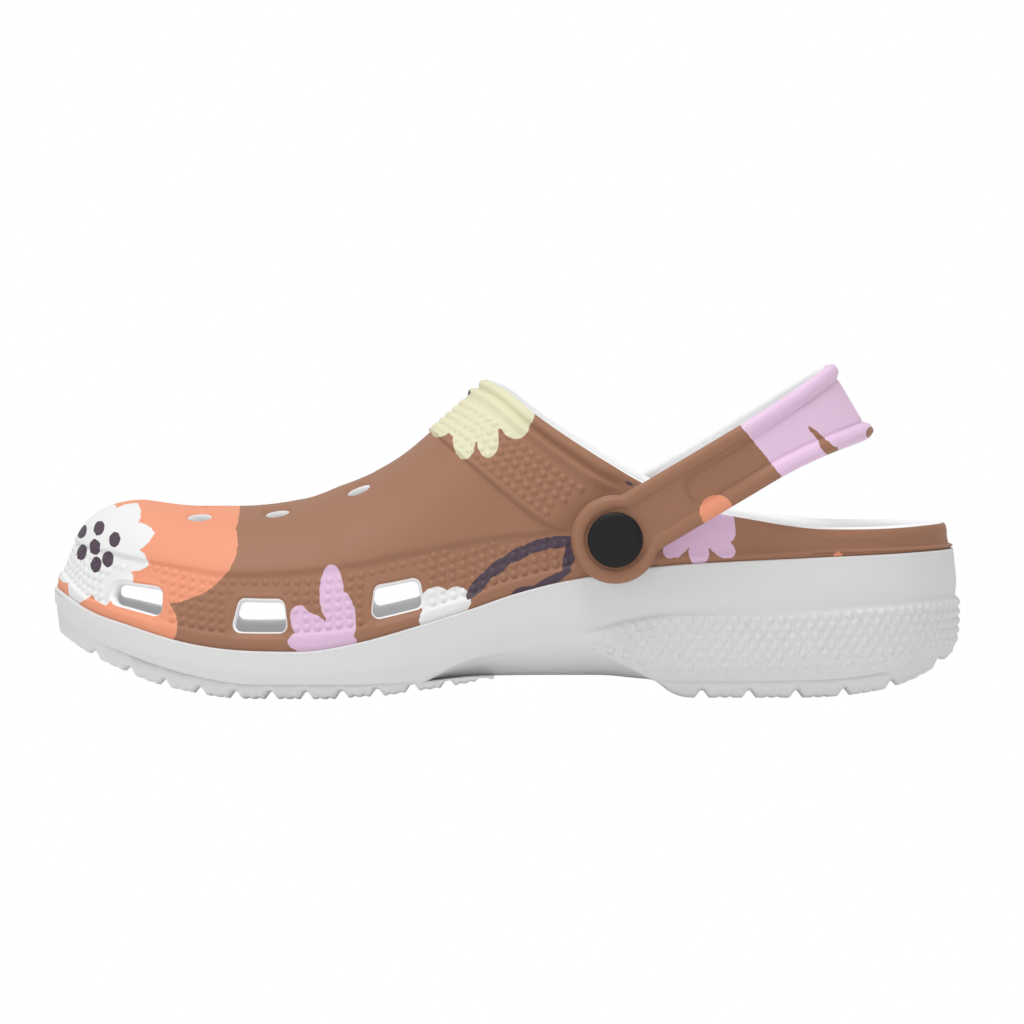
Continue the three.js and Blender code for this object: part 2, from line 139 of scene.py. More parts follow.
sole_top = line([[0, 31], [4, 24.8], [7.7, 21.6], [14, 16.7], [19.6, 14.4], [27.2, 13.9],
                 [33.5, 16.4], [40.5, 21.6], [46.3, 26.5], [51, 30.8], [56.5, 34.5], [66.2, 38.7],
                 [83.4, 41.3], [100, 43]])
wall_crease = line([[0, 25.5], [2.2, 20], [8.6, 12.7], [15.4, 7.2], [22.1, 4.6], [32.3, 4.6],
                    [40.8, 8.1], [53.2, 17.7], [58.3, 19.1], [63.8, 23.6], [68, 25.4], [80.4, 25.7],
                    [100, 29.3]])
wall_turn = line([[0, 20], [8, 9.5], [17, 3.5], [35, 2.5], [40.5, 4.5], [44.7, 9.9], [49, 12.8],
                  [58.9, 14.2], [62.7, 10.5], [67, 4.5], [72, 3], [85, 3], [92, 6], [100, 18]])
body_bottom = line([[0, 24.5], [2.2, 19.4], [8.6, 12.2], [15.4, 6.9], [22.1, 4.4], [32.3, 4.4],
                    [40.8, 5], [47, 6.3], [60, 6.4], [65, 5.3], [70, 4.6], [84, 5], [90, 6.3],
                    [95, 9.5], [100, 18]])
tread_bottom = line([[0, 18], [3.8, 11.9], [7.3, 7.7], [11.1, 4], [14.8, 1.8], [18.5, 0.3],
                     [22.3, 0], [30, 0], [33.2, 0.6], [36.7, 1.1], [39.4, 2.2], [42.1, 3],
                     [44.4, 4], [48.7, 5.8], [60, 6], [65.5, 5.2], [66.5, 4.8], [67.8, 2.2],
                     [69.2, 0.5], [71, 0], [83.4, 0], [90.2, 1.3], [95, 4.5], [98.3, 9],
                     [100, 12.5]])
tray_floor = line([[0, 24], [4, 19], [8, 15.5], [14, 12], [20, 10], [30, 10], [38, 12], [46, 17],
                   [54, 21], [65, 24], [75, 25], [90, 25.5], [100, 27]])
dome_ridge = line([[9.9, 56.6], [16.2, 54.9], [20.5, 54.9], [27.9, 57.2], [32, 61.2],
                   [35.3, 64.9], [38.7, 70.3], [41.7, 77], [44.3, 83.5], [46.9, 90], [49.9, 95.5],
                   [53.6, 99.5], [61, 102.5], [72, 103], [86, 103]])
dome_lean = line([[0, 0.45], [20, 0.2], [38, 0.3], [48, 0.4], [60, 0.12], [80, 0.2], [100, 0.4]])
rim_share = line([[47.9, 1], [49.9, 0.909], [53.4, 0.741], [59.3, 0.536], [64.2, 0.395],
                  [69.2, 0.278], [72.7, 0.22], [77.7, 0.171], [81.3, 0.139], [85, 0.117],
                  [93.6, 0.105], [100, 0.108]])
rand_line = line([[0.6, 37.2], [3.7, 29.4], [5.9, 27.2], [12.1, 22.6], [19.5, 19.3], [26, 19.3],
                  [33.4, 21.1], [40.4, 25.8], [46, 30.6], [50, 34.5], [55.7, 38.4], [62, 42],
                  [70, 42.6], [80, 43.4], [100, 44.6]])
crease_line = line([[2, 44.6], [10, 40.2], [16.7, 37.2], [19.5, 36.3], [25.1, 36.6], [29.5, 37.8],
                    [35.3, 40.2], [38.1, 42], [44.8, 45.2], [48.8, 47], [57.2, 49.1]])
THROAT = 47.9
BAND_START = 41.7
BAND_END = 57.2
RIM_JOIN = 64.3
band_line = line([[41.7, 77.2], [42.6, 76.2], [45.3, 70.3], [48.9, 62.3], [53.1, 53.4],
                  [55.2, 50.6], [57.2, 49.1]])


# ---- shape of the sections ----
# the spine is drawn in over FAN_REACH percent at each tip, by as much as TOE_DRAW or HEEL_DRAW
DOME_POWER = 2.4
FAN_REACH = 28
FAN_POWER = 2.2
TOE_DRAW = 9.9
HEEL_DRAW = 14
HALVINGS = 40
REPEATS = 25


def along(station):
    return (station / 100 - 0.5) * LENGTH


def station_at(x):
    return (x / LENGTH + 0.5) * 100


# ---- the plan outline, a closed curve through the stations ----
outline_x = along(np.array(STATIONS + STATIONS[-2:0:-1], float))
outline_y = np.array(LATERAL + MEDIAL[-2:0:-1]) * BALL_WIDTH / 2
OUTLINE = np.stack([outline_x, outline_y], axis=-1)


def outline(q):
    """Point and tangent of the closed uniform Catmull-Rom curve at q, counted in points."""
    i = np.floor(q).astype(int)
    f = (q - i)[..., None]
    a, b, c, d = (OUTLINE[(i + k) % len(OUTLINE)] for k in (-1, 0, 1, 2))
    quad = 2 * a - 5 * b + 4 * c - d
    cube = 3 * b - a - 3 * c + d
    point = b + 0.5 * f * ((c - a) + f * (quad + f * cube))
    tangent = 0.5 * ((c - a) + f * (2 * quad + 3 * f * cube))
    return point, unit(tangent)


def edge(side, t):
    """Outline point and outward direction at t, 0 at the toe and 1 at the heel."""
    half = len(OUTLINE) / 2
    q = np.where(side < 0, half * t, 2 * half - half * t)
    point, tangent = outline(q)
    return point, np.stack([tangent[..., 1], -tangent[..., 0]], axis=-1)


def spine(t):
    """Middle of the foot at t, drawn in from both tips so that sections fan round the ends."""
    a = edge(-1, t)[0]
    b = edge(1, t)[0]
    s = station_at((a[..., 0] + b[..., 0]) / 2)
    toe = np.maximum(0, (FAN_REACH - s) / FAN_REACH) ** FAN_POWER
    heel = np.maximum(0, (s - (100 - FAN_REACH)) / FAN_REACH) ** FAN_POWER
    x = along(s + TOE_DRAW * toe - HEEL_DRAW * heel)
    return np.stack([x, (a[..., 1] + b[..., 1]) / 2], axis=-1)


def foot_station(side, t):
    return station_at(edge(side, t)[0][..., 0])


def dome(side, t, share, drawn=0.0, lowered=0.0):
    """Point of the upper: superellipse sections from the sole edge (share 0) to the ridge (1)."""
    point, outward = edge(side, t)
    drawn = np.asarray(drawn, float)
    foot_station = station_at(point[..., 0])
    heel = HEEL_DRAWN * smooth(foot_station, 88, 99)
    foot = point - outward * (UPPER_INSET + heel + drawn)[..., None]
    crown = spine(t)
    bottom = sole_top(foot_station) + CLEARANCE
    top = dome_ridge(station_at(crown[..., 0])) - lowered
    share = np.clip(share, 0, 1)
    lean = 1 - dome_lean(foot_station) * share * (1 - share)
    spread = np.sqrt(1 - share ** DOME_POWER) * lean
    flat = crown + (foot - crown) * spread[..., None]
    return np.concatenate([flat, (bottom + (top - bottom) * share)[..., None]], axis=-1)


def to_share(phi):
    return np.sin(np.clip(phi, 0, np.pi / 2)) ** (2 / DOME_POWER)


def to_phi(share):
    return np.arcsin(np.clip(share, 0, 1) ** (DOME_POWER / 2))


def section(side, t):
    """Height of a section's foot, and its rise from there to the ridge."""
    bottom = dome(side, t, t * 0)[..., 2]
    return bottom, dome(side, t, t * 0 + 1)[..., 2] - bottom


def share_at_height(side, t, z):
    bottom, rise = section(side, t)
    return np.clip((z - bottom) / rise, 0, 1)


def share_on(side, t, height):
    """Share at which a section crosses a line of heights over its own station, by repetition."""
    share = np.zeros_like(t) + 0.3
    bottom, rise = section(side, t)
    for _ in range(REPEATS):
        s = station_at(dome(side, t, share)[..., 0])
        share = 0.5 * share + 0.5 * np.clip((height(s) - bottom) / rise, 0, 1)
    return share


def halve(shape, is_short):
    """Where between 0 and 1 is_short stops being true, by halving."""
    low = np.zeros(shape)
    high = low + 1
    for _ in range(HALVINGS):
        middle = (low + high) / 2
        short = is_short(middle)
        low = np.where(short, middle, low)
        high = np.where(short, high, middle)
    return (low + high) / 2


def turn_at(station):
    """The t whose outline point lies at a station."""
    return halve(np.shape(station), lambda t: foot_station(-1, t) < station)


def find(side, x, z):
    """t and share of the dome point that lies at x and z."""
    t = halve(np.shape(x), lambda t: dome(side, t, share_at_height(side, t, z))[..., 0] < x)
    return t, share_at_height(side, t, z)


def normal(side, t, share):
    """Outward unit normal of the dome, from differences along both of its directions."""
    step = 1e-4
    ta = np.clip(t - step, 0, 1)
    tb = np.clip(t + step, 0, 1)
    sa = np.clip(share - 2 * step, 0, 1 - 2 * step)
    du = dome(side, tb, share) - dome(side, ta, share)
    dv = dome(side, t, sa + 2 * step) - dome(side, t, sa)
    n = np.cross(du, dv) * np.where(np.asarray(side) < 0, 1.0, -1.0)[..., None]
    length = np.linalg.norm(n, axis=-1, keepdims=True)
    return np.where(length > 1e-12, n / np.maximum(length, 1e-12), [0, 0, 1])


# ---- meshes ----
WELD_DISTANCE = 3e-6


def make_object(name, verts, faces, attributes=None):
    """A mesh object from millimetre points and a list of face arrays with 3 or 4 corners each."""
    mesh = bpy.data.meshes.new(name)
    corners = np.concatenate([np.asarray(f).ravel() for f in faces]).astype(np.int32)
    sizes = np.concatenate([np.full(len(f), np.asarray(f).shape[1]) for f in faces])
    starts = np.concatenate([[0], np.cumsum(sizes)[:-1]]).astype(np.int32)
    mesh.vertices.add(len(verts))
    mesh.vertices.foreach_set("co", (np.asarray(verts) * MM).astype(np.float32).ravel())
    mesh.loops.add(len(corners))
    mesh.loops.foreach_set("vertex_index", corners)
    mesh.polygons.add(len(sizes))
    mesh.polygons.foreach_set("loop_start", starts)
    for label, values in (attributes or {}).items():
        layer = mesh.attributes.new(label, "FLOAT", "POINT")
        layer.data.foreach_set("value", np.asarray(values, np.float32))
    mesh.update(calc_edges=True)
    mesh.polygons.foreach_set("use_smooth", np.full(len(sizes), True))
    mesh.validate()
    obj = bpy.data.objects.new(name, mesh)
    bpy.context.scene.collection.objects.link(obj)
    return obj


def grid_faces(columns, rows, start=0):
    """Quads of a grid whose points run row by row inside each column."""
    i, j = np.meshgrid(np.arange(columns - 1), np.arange(rows - 1), indexing="ij")
    a = start + i * rows + j
    return np.stack([a, a + rows, a + rows + 1, a + 1], axis=-1).reshape(-1, 4)


def weld(obj):
    """Merges points that lie together, which closes seams and poles."""
    work = bmesh.new()
    work.from_mesh(obj.data)
    bmesh.ops.remove_doubles(work, verts=work.verts, dist=WELD_DISTANCE)
    work.to_mesh(obj.data)
    work.free()
    obj.data.validate()
    return obj


def facing_out(obj):
    """Turns every face of a closed mesh outwards."""
    work = bmesh.new()
    work.from_mesh(obj.data)
    bmesh.ops.dissolve_degenerate(work, edges=work.edges, dist=1e-7)
    bmesh.ops.recalc_face_normals(work, faces=work.faces)
    if work.calc_volume(signed=True) < 0:
        bmesh.ops.reverse_faces(work, faces=work.faces)
    work.to_mesh(obj.data)
    work.free()
    return obj


def closed_grid(name, grid, attributes=None):
    """A closed mesh from a columns by rows grid of points, welded at its seams and poles."""
    obj = make_object(name, grid.reshape(-1, 3), [grid_faces(*grid.shape[:2])], attributes)
    return facing_out(weld(obj))


def read_array(source, key, kind, size=1):
    values = np.empty(len(source) * size, kind)
    source.foreach_get(key, values)
    return values


def read_mesh(obj):
    """Points in millimetres and faces, as one array of quads and one of triangles."""
    mesh = obj.data
    verts = read_array(mesh.vertices, "co", np.float32, 3)
    corners = read_array(mesh.loops, "vertex_index", np.int32)
    starts = read_array(mesh.polygons, "loop_start", np.int32)
    sizes = read_array(mesh.polygons, "loop_total", np.int32)
    quads, tris = (corners[starts[sizes == n][:, None] + np.arange(n)] for n in (4, 3))
    return verts.reshape(-1, 3).astype(float) / MM, quads, tris


def read_layer(obj, label):
    return read_array(obj.data.attributes[label].data, "value", np.float32).astype(float)


# ---- openings in the upper ----
PORTS = [
    [[-119.2, 27.0], [-116.6, 35.0], [-101.2, 33.4], [-101.9, 22.9]],
    [[-82.6, 19.0], [-79.6, 30.5], [-65.2, 30.3], [-63.8, 19.0]],
    [[-41.0, 22.4], [-39.6, 34.2], [-25.0, 37.0], [-23.4, 26.6]],
]
PORT_CORNER = 3.0
PORT_ROLL = 1.2
PORT_GROW = 0.1
PORT_POINTS = 72
VENT_RADIUS = 3.3
VENT_ROLL = 0.9
VENT_POINTS = 36
RIM_ROLL = 2.0
FOOT_ROLL = 0.05
VENT_ROWS = [[14.9, 3], [20.3, 1], [24.7, 3], [29.2, 1], [33.8, 3]]
VENT_SPREAD = 16.0
ARCH_END = 0.6
ARCH_POINTS = 800


def port_outline(corners, grow):
    """Round-cornered quadrilateral, corner circles joined by straight sides.

    Each point is the farthest one along its direction of four circles set in from the corners.
    """
    corners = np.array(corners)
    middle = corners.mean(axis=0)
    ahead, behind = (unit(np.roll(corners, k, axis=0) - corners) for k in (-1, 1))
    sine = np.abs(ahead[:, 0] * behind[:, 1] - ahead[:, 1] * behind[:, 0])
    inner = corners + (ahead + behind) * (PORT_CORNER / sine)[:, None]
    angles = circle(PORT_POINTS)
    heading = np.stack([np.cos(angles), np.sin(angles)], axis=-1)
    pick = np.argmax(heading @ (inner - middle).T, axis=1)
    points = inner[pick] + heading * (PORT_CORNER + grow)
    order = np.argsort(np.arctan2(points[:, 1] - middle[1], points[:, 0] - middle[0]))
    return points[order]


def port_loop(side, corners):
    x, z = port_outline(corners, PORT_GROW).T
    t, share = find(np.full(x.shape, side), x, z)
    return t, to_phi(share), PORT_ROLL


def over_ridge(psi):
    """Side and angle of an angle counted over the ridge, 0 at the outer foot, pi at the inner."""
    return np.where(psi <= np.pi / 2, -1, 1), np.minimum(psi, np.pi - psi)


def dome_over(t, psi):
    side, phi = over_ridge(psi)
    return dome(side, t, to_share(phi))


def vent_loop(station, offset):
    """Circle in the plane that touches the dome over a point of the plan."""
    t0 = turn_at(np.array([station]))
    psis = np.linspace(ARCH_END, np.pi - ARCH_END, ARCH_POINTS)
    arch = dome_over(t0 + psis * 0, psis)[:, 1] - spine(t0)[0, 1]
    psi0 = np.interp([offset], arch, psis)
    step = 1e-3
    du = (dome_over(t0 + step, psi0) - dome_over(t0 - step, psi0))[0] / (2 * step)
    dv = (dome_over(t0, psi0 + step) - dome_over(t0, psi0 - step))[0] / (2 * step)
    angles = circle(VENT_POINTS)
    u = du / np.linalg.norm(du)
    v = dv - u * (dv @ u)
    v /= np.linalg.norm(v)
    ring = (VENT_RADIUS + VENT_ROLL) * (np.cos(angles)[:, None] * u + np.sin(angles)[:, None] * v)
    local = np.linalg.lstsq(np.stack([du, dv], axis=-1), ring.T, rcond=None)[0]
    return t0 + local[0], psi0 + local[1], VENT_ROLL


# ---- the lattice of the upper: every point is a side, a turn t, an angle phi and a lift ----
RAND_LIFT = 1.05
VAMP_LIFT = 0.8
VAMP_COLUMNS = 118
COLLAR_COLUMNS = 64
HEEL_COLUMNS = 90
COLLAR_CLOSING = 1.5
COLLAR_ROWS = np.array([0, 0.012, 0.03, 0.055, 0.1, 0.2, 0.3, 0.4, 0.5, 0.6, 0.66, 0.7, 0.735,
                        0.765, 0.79, 0.82, 0.845, 0.865, 0.885, 0.91, 0.94, 0.97, 1.0])
COLLAR_LIFTS = line([[0, 0.65], [0.012, 0.9], [0.03, 1.7], [0.055, 1.8], [0.1, 1.4], [0.66, 1.0],
                     [0.7, 1.1], [0.735, 1.7], [0.765, 2.1], [0.79, 2.1], [0.82, 1.6], [0.845, 0.8],
                     [0.865, 0.5], [0.885, 0.8], [0.91, 1.5], [0.94, 2.0], [0.97, 2.0], [1.0, 1.5]])

# rows of the side wall by the rand's edge: share of the rand, millimetres past it, lift
RAND_ROWS = [(0, 0, 0.3), (0.3, 0, 0.6), (0.6, 0, RAND_LIFT), (1, -0.8, RAND_LIFT),
             (1, -0.3, RAND_LIFT * 0.85), (1, 0, RAND_LIFT * 0.35), (1, 0.3, 0)]
UPPER_STEPS = 12
VAMP_ROWS = np.array([0, 0.012, 0.03, 0.06, 0.1, 0.15, 0.2, 0.26, 0.32, 0.38, 0.44, 0.5, 0.56,
                      0.62, 0.68, 0.74, 0.8, 0.86, 0.91, 0.96, 1.0])
FADE_FROM = 0.86
# millimetres that a radian of the vamp is taken to measure, and the width of its raised edge
VAMP_RADIUS = 45
VAMP_EDGE = 0.9
# bead along the heel's rim: its lift, and the columns over which it begins behind the ear
RIM_BEAD = 0.35
BEAD_START = 12
# rings of quads from a block's border to an opening: how far each lies on the way, and its lift
RING_STEPS = (0.35, 0.65, 0.85, 1.0)
RING_LIFT = 0.25


def column_turns():
    """Turns of the columns: fine round the toe and along the vamp, closing up behind the throat."""
    band, end, join = (turn_at(np.array(s)) for s in (BAND_START, BAND_END, RIM_JOIN))
    vamp = np.linspace(0, band, VAMP_COLUMNS)
    collar = band + (end - band) * np.linspace(0, 1, COLLAR_COLUMNS) ** COLLAR_CLOSING
    ear = np.linspace(end, join, len(COLLAR_ROWS))
    heel = np.linspace(join, 1, HEEL_COLUMNS)
    return vamp, collar[1:], ear[1:], heel[1:]


def collar_frame(side, a):
    """Turns and angles of the collar band's front edge and rim, at fractions a of its length."""
    band, end = (turn_at(np.array(s)) for s in (BAND_START, BAND_END))
    front_t = band + (end - band) * a ** COLLAR_CLOSING
    front = share_at_height(side, front_t, band_line(foot_station(side, front_t)))
    front[0] = 1
    rim_station = THROAT + (RIM_JOIN - THROAT) * a ** COLLAR_CLOSING
    return front_t, to_phi(front), turn_at(rim_station), to_phi(rim_share(rim_station))


def lower_rows(side, t, top):
    """Angles and lifts from the sole edge to the top line, with rows on the rand's rounded edge."""
    rand = np.minimum(share_on(side, t, rand_line), top * 0.9)
    mm = 1 / section(side, t)[1]
    lower = [rand * part + past * mm for part, past, _ in RAND_ROWS]
    start = lower[-1]
    upper = [start + (top - start) * f for f in np.linspace(0, 1, UPPER_STEPS + 1)[1:]]
    shares = np.stack(lower + upper, axis=1)
    lift = np.zeros_like(shares)
    lift[:, :len(RAND_ROWS)] = [row[2] for row in RAND_ROWS]
    return to_phi(np.clip(shares, 0, 1)), lift


def side_patches(side):
    """Patches of one side as (t, phi, lift), each a columns by rows array, the crown apart."""
    vamp, collar, ear, heel = column_turns()
    front = np.concatenate([vamp, collar])
    rear = np.concatenate([collar[-1:], ear, heel])
    s = np.full(front.shape, side)
    ridge_columns = len(vamp)

    crease = share_on(s, front, crease_line)
    phi_a, lift_a = lower_rows(s, front, crease)
    t_a = np.repeat(front[:, None], phi_a.shape[1], axis=1)

    # the collar band: its front edge runs down from the ridge, its rim from the throat
    a = np.linspace(0, 1, len(collar) + 1)
    front_t, front_phi, rim_t, rim_phi = collar_frame(np.full(a.shape, side), a)
    front_phi[-1] = to_phi(crease[-1])
    b = COLLAR_ROWS[None, :]
    t_c = front_t[:, None] + (rim_t - front_t)[:, None] * b
    phi_c = front_phi[:, None] + (rim_phi - front_phi)[:, None] * b
    fade = (1 - smooth(a, FADE_FROM, 1.0))[:, None]
    lift_c = COLLAR_LIFTS(COLLAR_ROWS)[None, :] * fade

    # the vamp, from the crease up to the ridge or to the band's front edge
    top = np.full(len(front), np.pi / 2)
    top[ridge_columns - 1:] = front_phi
    low = phi_a[:, -1]
    f = VAMP_ROWS[None, :]
    phi_b = low[:, None] + (top - low)[:, None] * f
    t_b = np.repeat(front[:, None], f.shape[1], axis=1)
    rise_mm = f * (top - low)[:, None] * VAMP_RADIUS
    back_fade = np.concatenate([np.ones(ridge_columns - 1), fade[:, 0]])[:, None]
    lift_b = VAMP_LIFT * smooth(rise_mm, 0.0, VAMP_EDGE) * back_fade
    lift_b[:, -1] = VAMP_LIFT * back_fade[:, 0]

    # the rear wall, up to the end of the band beside the ear and to the rim behind it
    s_rear = np.full(rear.shape, side)
    top_share = rim_share(foot_station(s_rear, rear))
    joined = len(COLLAR_ROWS)
    rear[:joined] = t_c[-1]
    top_share[:joined] = to_share(phi_c[-1])
    top_share[0] = crease[-1]
    phi_d, lift_d = lower_rows(s_rear, rear, top_share)
    t_d = np.repeat(rear[:, None], phi_d.shape[1], axis=1)
    height = dome(s_rear[:, None] + t_d * 0, t_d, to_share(phi_d))[..., 2]
    below_rim = height[:, -1:] - height
    behind_ear = smooth(np.arange(len(rear)), joined - 1, joined + BEAD_START)[:, None]
    bead = RIM_BEAD * (1 - smooth(below_rim, 1.2, 3.2)) * behind_ear
    crown = [layer[:ridge_columns] for layer in (t_b, phi_b, lift_b)]
    flank = [layer[ridge_columns - 1:] for layer in (t_b, phi_b, lift_b)]
    return crown, [[t_a, phi_a, lift_a], flank, [t_c, phi_c, lift_c], [t_d, phi_d, lift_d + bead]]


def cut_patch(t, phi, lift, loops, start):
    """Faces of a patch with a ring of quads round each loop, and the ring's extra points.

    Each ring goes from the border of a block of cells to the loop, point to point by direction.
    """
    columns, rows = t.shape
    keep = np.ones((columns - 1, rows - 1), bool)
    extra = []
    faces = []
    count = columns * rows
    for loop_t, loop_phi, roll in loops:
        i0 = np.searchsorted(t[:, 0], loop_t.min()) - 1
        i1 = np.searchsorted(t[:, 0], loop_t.max())
        span = slice(i0, i1 + 1)
        j0 = np.where((phi[span] < loop_phi.min()).all(axis=0))[0].max()
        above = np.where((phi[span] > loop_phi.max()).all(axis=0))[0]
        j1 = above.min() if len(above) else rows - 1
        if j0 > 0 and phi[span][:, j0].max() > loop_phi.min() - 0.01:
            j0 -= 1
        keep[i0:i1, j0:j1] = False
        ring_i = np.concatenate([np.arange(i0, i1), np.full(j1 - j0, i1), np.arange(i1, i0, -1),
                                 np.full(j1 - j0, i0)])
        ring_j = np.concatenate([np.full(i1 - i0, j0), np.arange(j0, j1), np.full(i1 - i0, j1),
                                 np.arange(j1, j0, -1)])
        scale = (loop_phi.max() - loop_phi.min()) / (loop_t.max() - loop_t.min())
        ct = (loop_t.max() + loop_t.min()) / 2
        cp = (loop_phi.max() + loop_phi.min()) / 2
        border_t = t[ring_i, ring_j]
        border_phi = phi[ring_i, ring_j]
        seen = np.arctan2(border_phi - cp, (border_t - ct) * scale)
        around = np.arctan2(loop_phi - cp, (loop_t - ct) * scale)
        order = np.argsort(around)
        a = around[order]
        a = np.concatenate([a - 2 * np.pi, a, a + 2 * np.pi])
        end_t = np.interp(seen, a, np.tile(loop_t[order], 3))
        end_phi = np.interp(seen, a, np.tile(loop_phi[order], 3))
        before = ring_i * rows + ring_j + start
        border_lift = lift[ring_i, ring_j]
        size = len(ring_i)
        for w in RING_STEPS:
            points = np.stack([border_t + (end_t - border_t) * w,
                               border_phi + (end_phi - border_phi) * w,
                               border_lift * (1 - w) + RING_LIFT * w,
                               np.full(size, roll if w == 1.0 else 0.0)], axis=1)
            now = start + count + sum(len(e) for e in extra) + np.arange(size)
            extra.append(points)
            nxt = np.roll(np.arange(size), -1)
            faces.append(np.stack([before, before[nxt], now[nxt], now], axis=1))
            before = now
    quads = grid_faces(columns, rows, start)[keep.ravel()]
    return np.concatenate([quads] + faces), (np.concatenate(extra) if extra else np.empty((0, 4)))


def upper_lattice():
    """All points of the outer skin as columns side, t, phi, lift and roll, and its quads."""
    points = []
    quads = []
    total = 0
    crowns = []
    for side in (-1, 1):
        crown, rest = side_patches(side)
        crowns.append(crown)
        ports = [port_loop(side, corners) for corners in PORTS]
        for number, (t, phi, lift) in enumerate(rest):
            faces, extra = cut_patch(t, phi, lift, ports if number == 0 else [], total)
            grid = np.stack([np.full(t.size, side), t.ravel(), phi.ravel(), lift.ravel(),
                             np.zeros(t.size)], axis=1)
            ring = np.concatenate([np.full((len(extra), 1), side), extra], axis=1)
            points += [grid, ring]
            quads.append(faces if side < 0 else faces[:, ::-1])
            total += t.size + len(extra)

    # the crown runs over the ridge from one crease to the other, with the vents cut in it
    (t_l, phi_l, lift_l), (t_m, phi_m, lift_m) = crowns
    t = np.concatenate([t_l, t_m[:, -2::-1]], axis=1)
    psi = np.concatenate([phi_l, np.pi - phi_m[:, -2::-1]], axis=1)
    lift = np.concatenate([lift_l, lift_m[:, -2::-1]], axis=1)
    vents = [vent_loop(station, (k - (count - 1) / 2) * VENT_SPREAD)
             for station, count in VENT_ROWS for k in range(count)]
    faces, extra = cut_patch(t, psi, lift, vents, total)
    grid = np.stack([t.ravel(), psi.ravel(), lift.ravel(), np.zeros(t.size)], axis=1)
    flat = np.concatenate([grid, extra])
    side, phi = over_ridge(flat[:, 1])
    points.append(np.stack([side, flat[:, 0], phi, flat[:, 2], flat[:, 3]], axis=1))
    quads.append(faces)
    return np.concatenate(points), np.concatenate(quads)


# ---- rounded edges and walls ----
EDGE_STEPS = 7


def border_edges(quads, tris, count):
    """Directed edges that only one face uses."""
    q = quads[:, [0, 1, 1, 2, 2, 3, 3, 0]].reshape(-1, 2)
    t = tris[:, [0, 1, 1, 2, 2, 0]].reshape(-1, 2)
    edges = np.concatenate([q, t]).astype(np.int64)
    keys = edges[:, 0] * count + edges[:, 1]
    back = edges[:, 1] * count + edges[:, 0]
    return edges[~np.isin(keys, back)]


def close_shell(outer, inner, normals, quads, tris, roll):
    """Closes two skins with one set of faces into a shell whose open edges are rounded.

    At each border point the edge is a half ellipse from the outer skin to the inner one. It bulges
    by roll into the opening, at right angles to the border and to the skin's normal.
    """
    count = len(outer)
    edges = border_edges(quads, tris, count)
    heading = unit(outer[edges[:, 1]] - outer[edges[:, 0]], 1e-9)
    bulge = np.zeros_like(outer)
    for k in (0, 1):
        np.add.at(bulge, edges[:, k], np.cross(heading, normals[edges[:, k]]))
    border = np.unique(edges)
    out = unit(bulge[border], 1e-9)
    middle = (outer[border] + inner[border]) / 2
    half = outer[border] - middle
    place = np.full(count, -1)
    place[border] = np.arange(len(border))
    verts = [outer, inner]
    faces = [quads, quads[:, ::-1] + count, tris, tris[:, ::-1] + count]
    shade = [np.ones(count), np.zeros(count)]
    a = edges[:, 0]
    b = edges[:, 1]
    for k in range(1, EDGE_STEPS + 1):
        angle = np.pi * k / (EDGE_STEPS + 1)
        ring = middle + half * np.cos(angle) + out * (roll[border] * np.sin(angle))[:, None]
        start = 2 * count + (k - 1) * len(border)
        next_a = start + place[edges[:, 0]]
        next_b = start + place[edges[:, 1]]
        verts.append(ring)
        shade.append(np.full(len(border), 1 - k / (EDGE_STEPS + 1) * 2.0))
        faces.append(np.stack([b, a, next_a, next_b], axis=1))
        a, b = next_a, next_b
    faces.append(np.stack([b, a, edges[:, 0] + count, edges[:, 1] + count], axis=1))
    return np.concatenate(verts), [f for f in faces if len(f)], np.concatenate(shade)


def make_upper():
    """The moulded upper: one closed shell with rounded port, vent and collar edges."""
    points, quads = upper_lattice()
    side, t, phi, lift, roll = points.T
    share = to_share(phi)
    skin = dome(side, t, share) + normal(side, t, share) * lift[:, None]
    draft = make_object("upper_draft", skin, [quads],
                        {"side": side, "t": t, "phi": phi, "lift": lift, "roll": roll})
    weld(draft)
    outer, quads, tris = read_mesh(draft)
    side, t, phi, lift, roll = (read_layer(draft, k) for k in ("side", "t", "phi", "lift", "roll"))
    bpy.data.objects.remove(draft)
    share = to_share(phi)
    inner = dome(side, t, share, UPPER_WALL, UPPER_ROOF)
    rim = roll == 0
    roll = np.where(rim & (phi > 1e-3), RIM_ROLL, np.where(rim, FOOT_ROLL, roll))
    verts, faces, printed = close_shell(outer, inner, normal(side, t, share), quads, tris, roll)
    return make_object("clog_upper", verts, faces, {"printed": printed})


# ---- small domes ----
STUD_SINK = 0.15
STUD_SIDES = 10


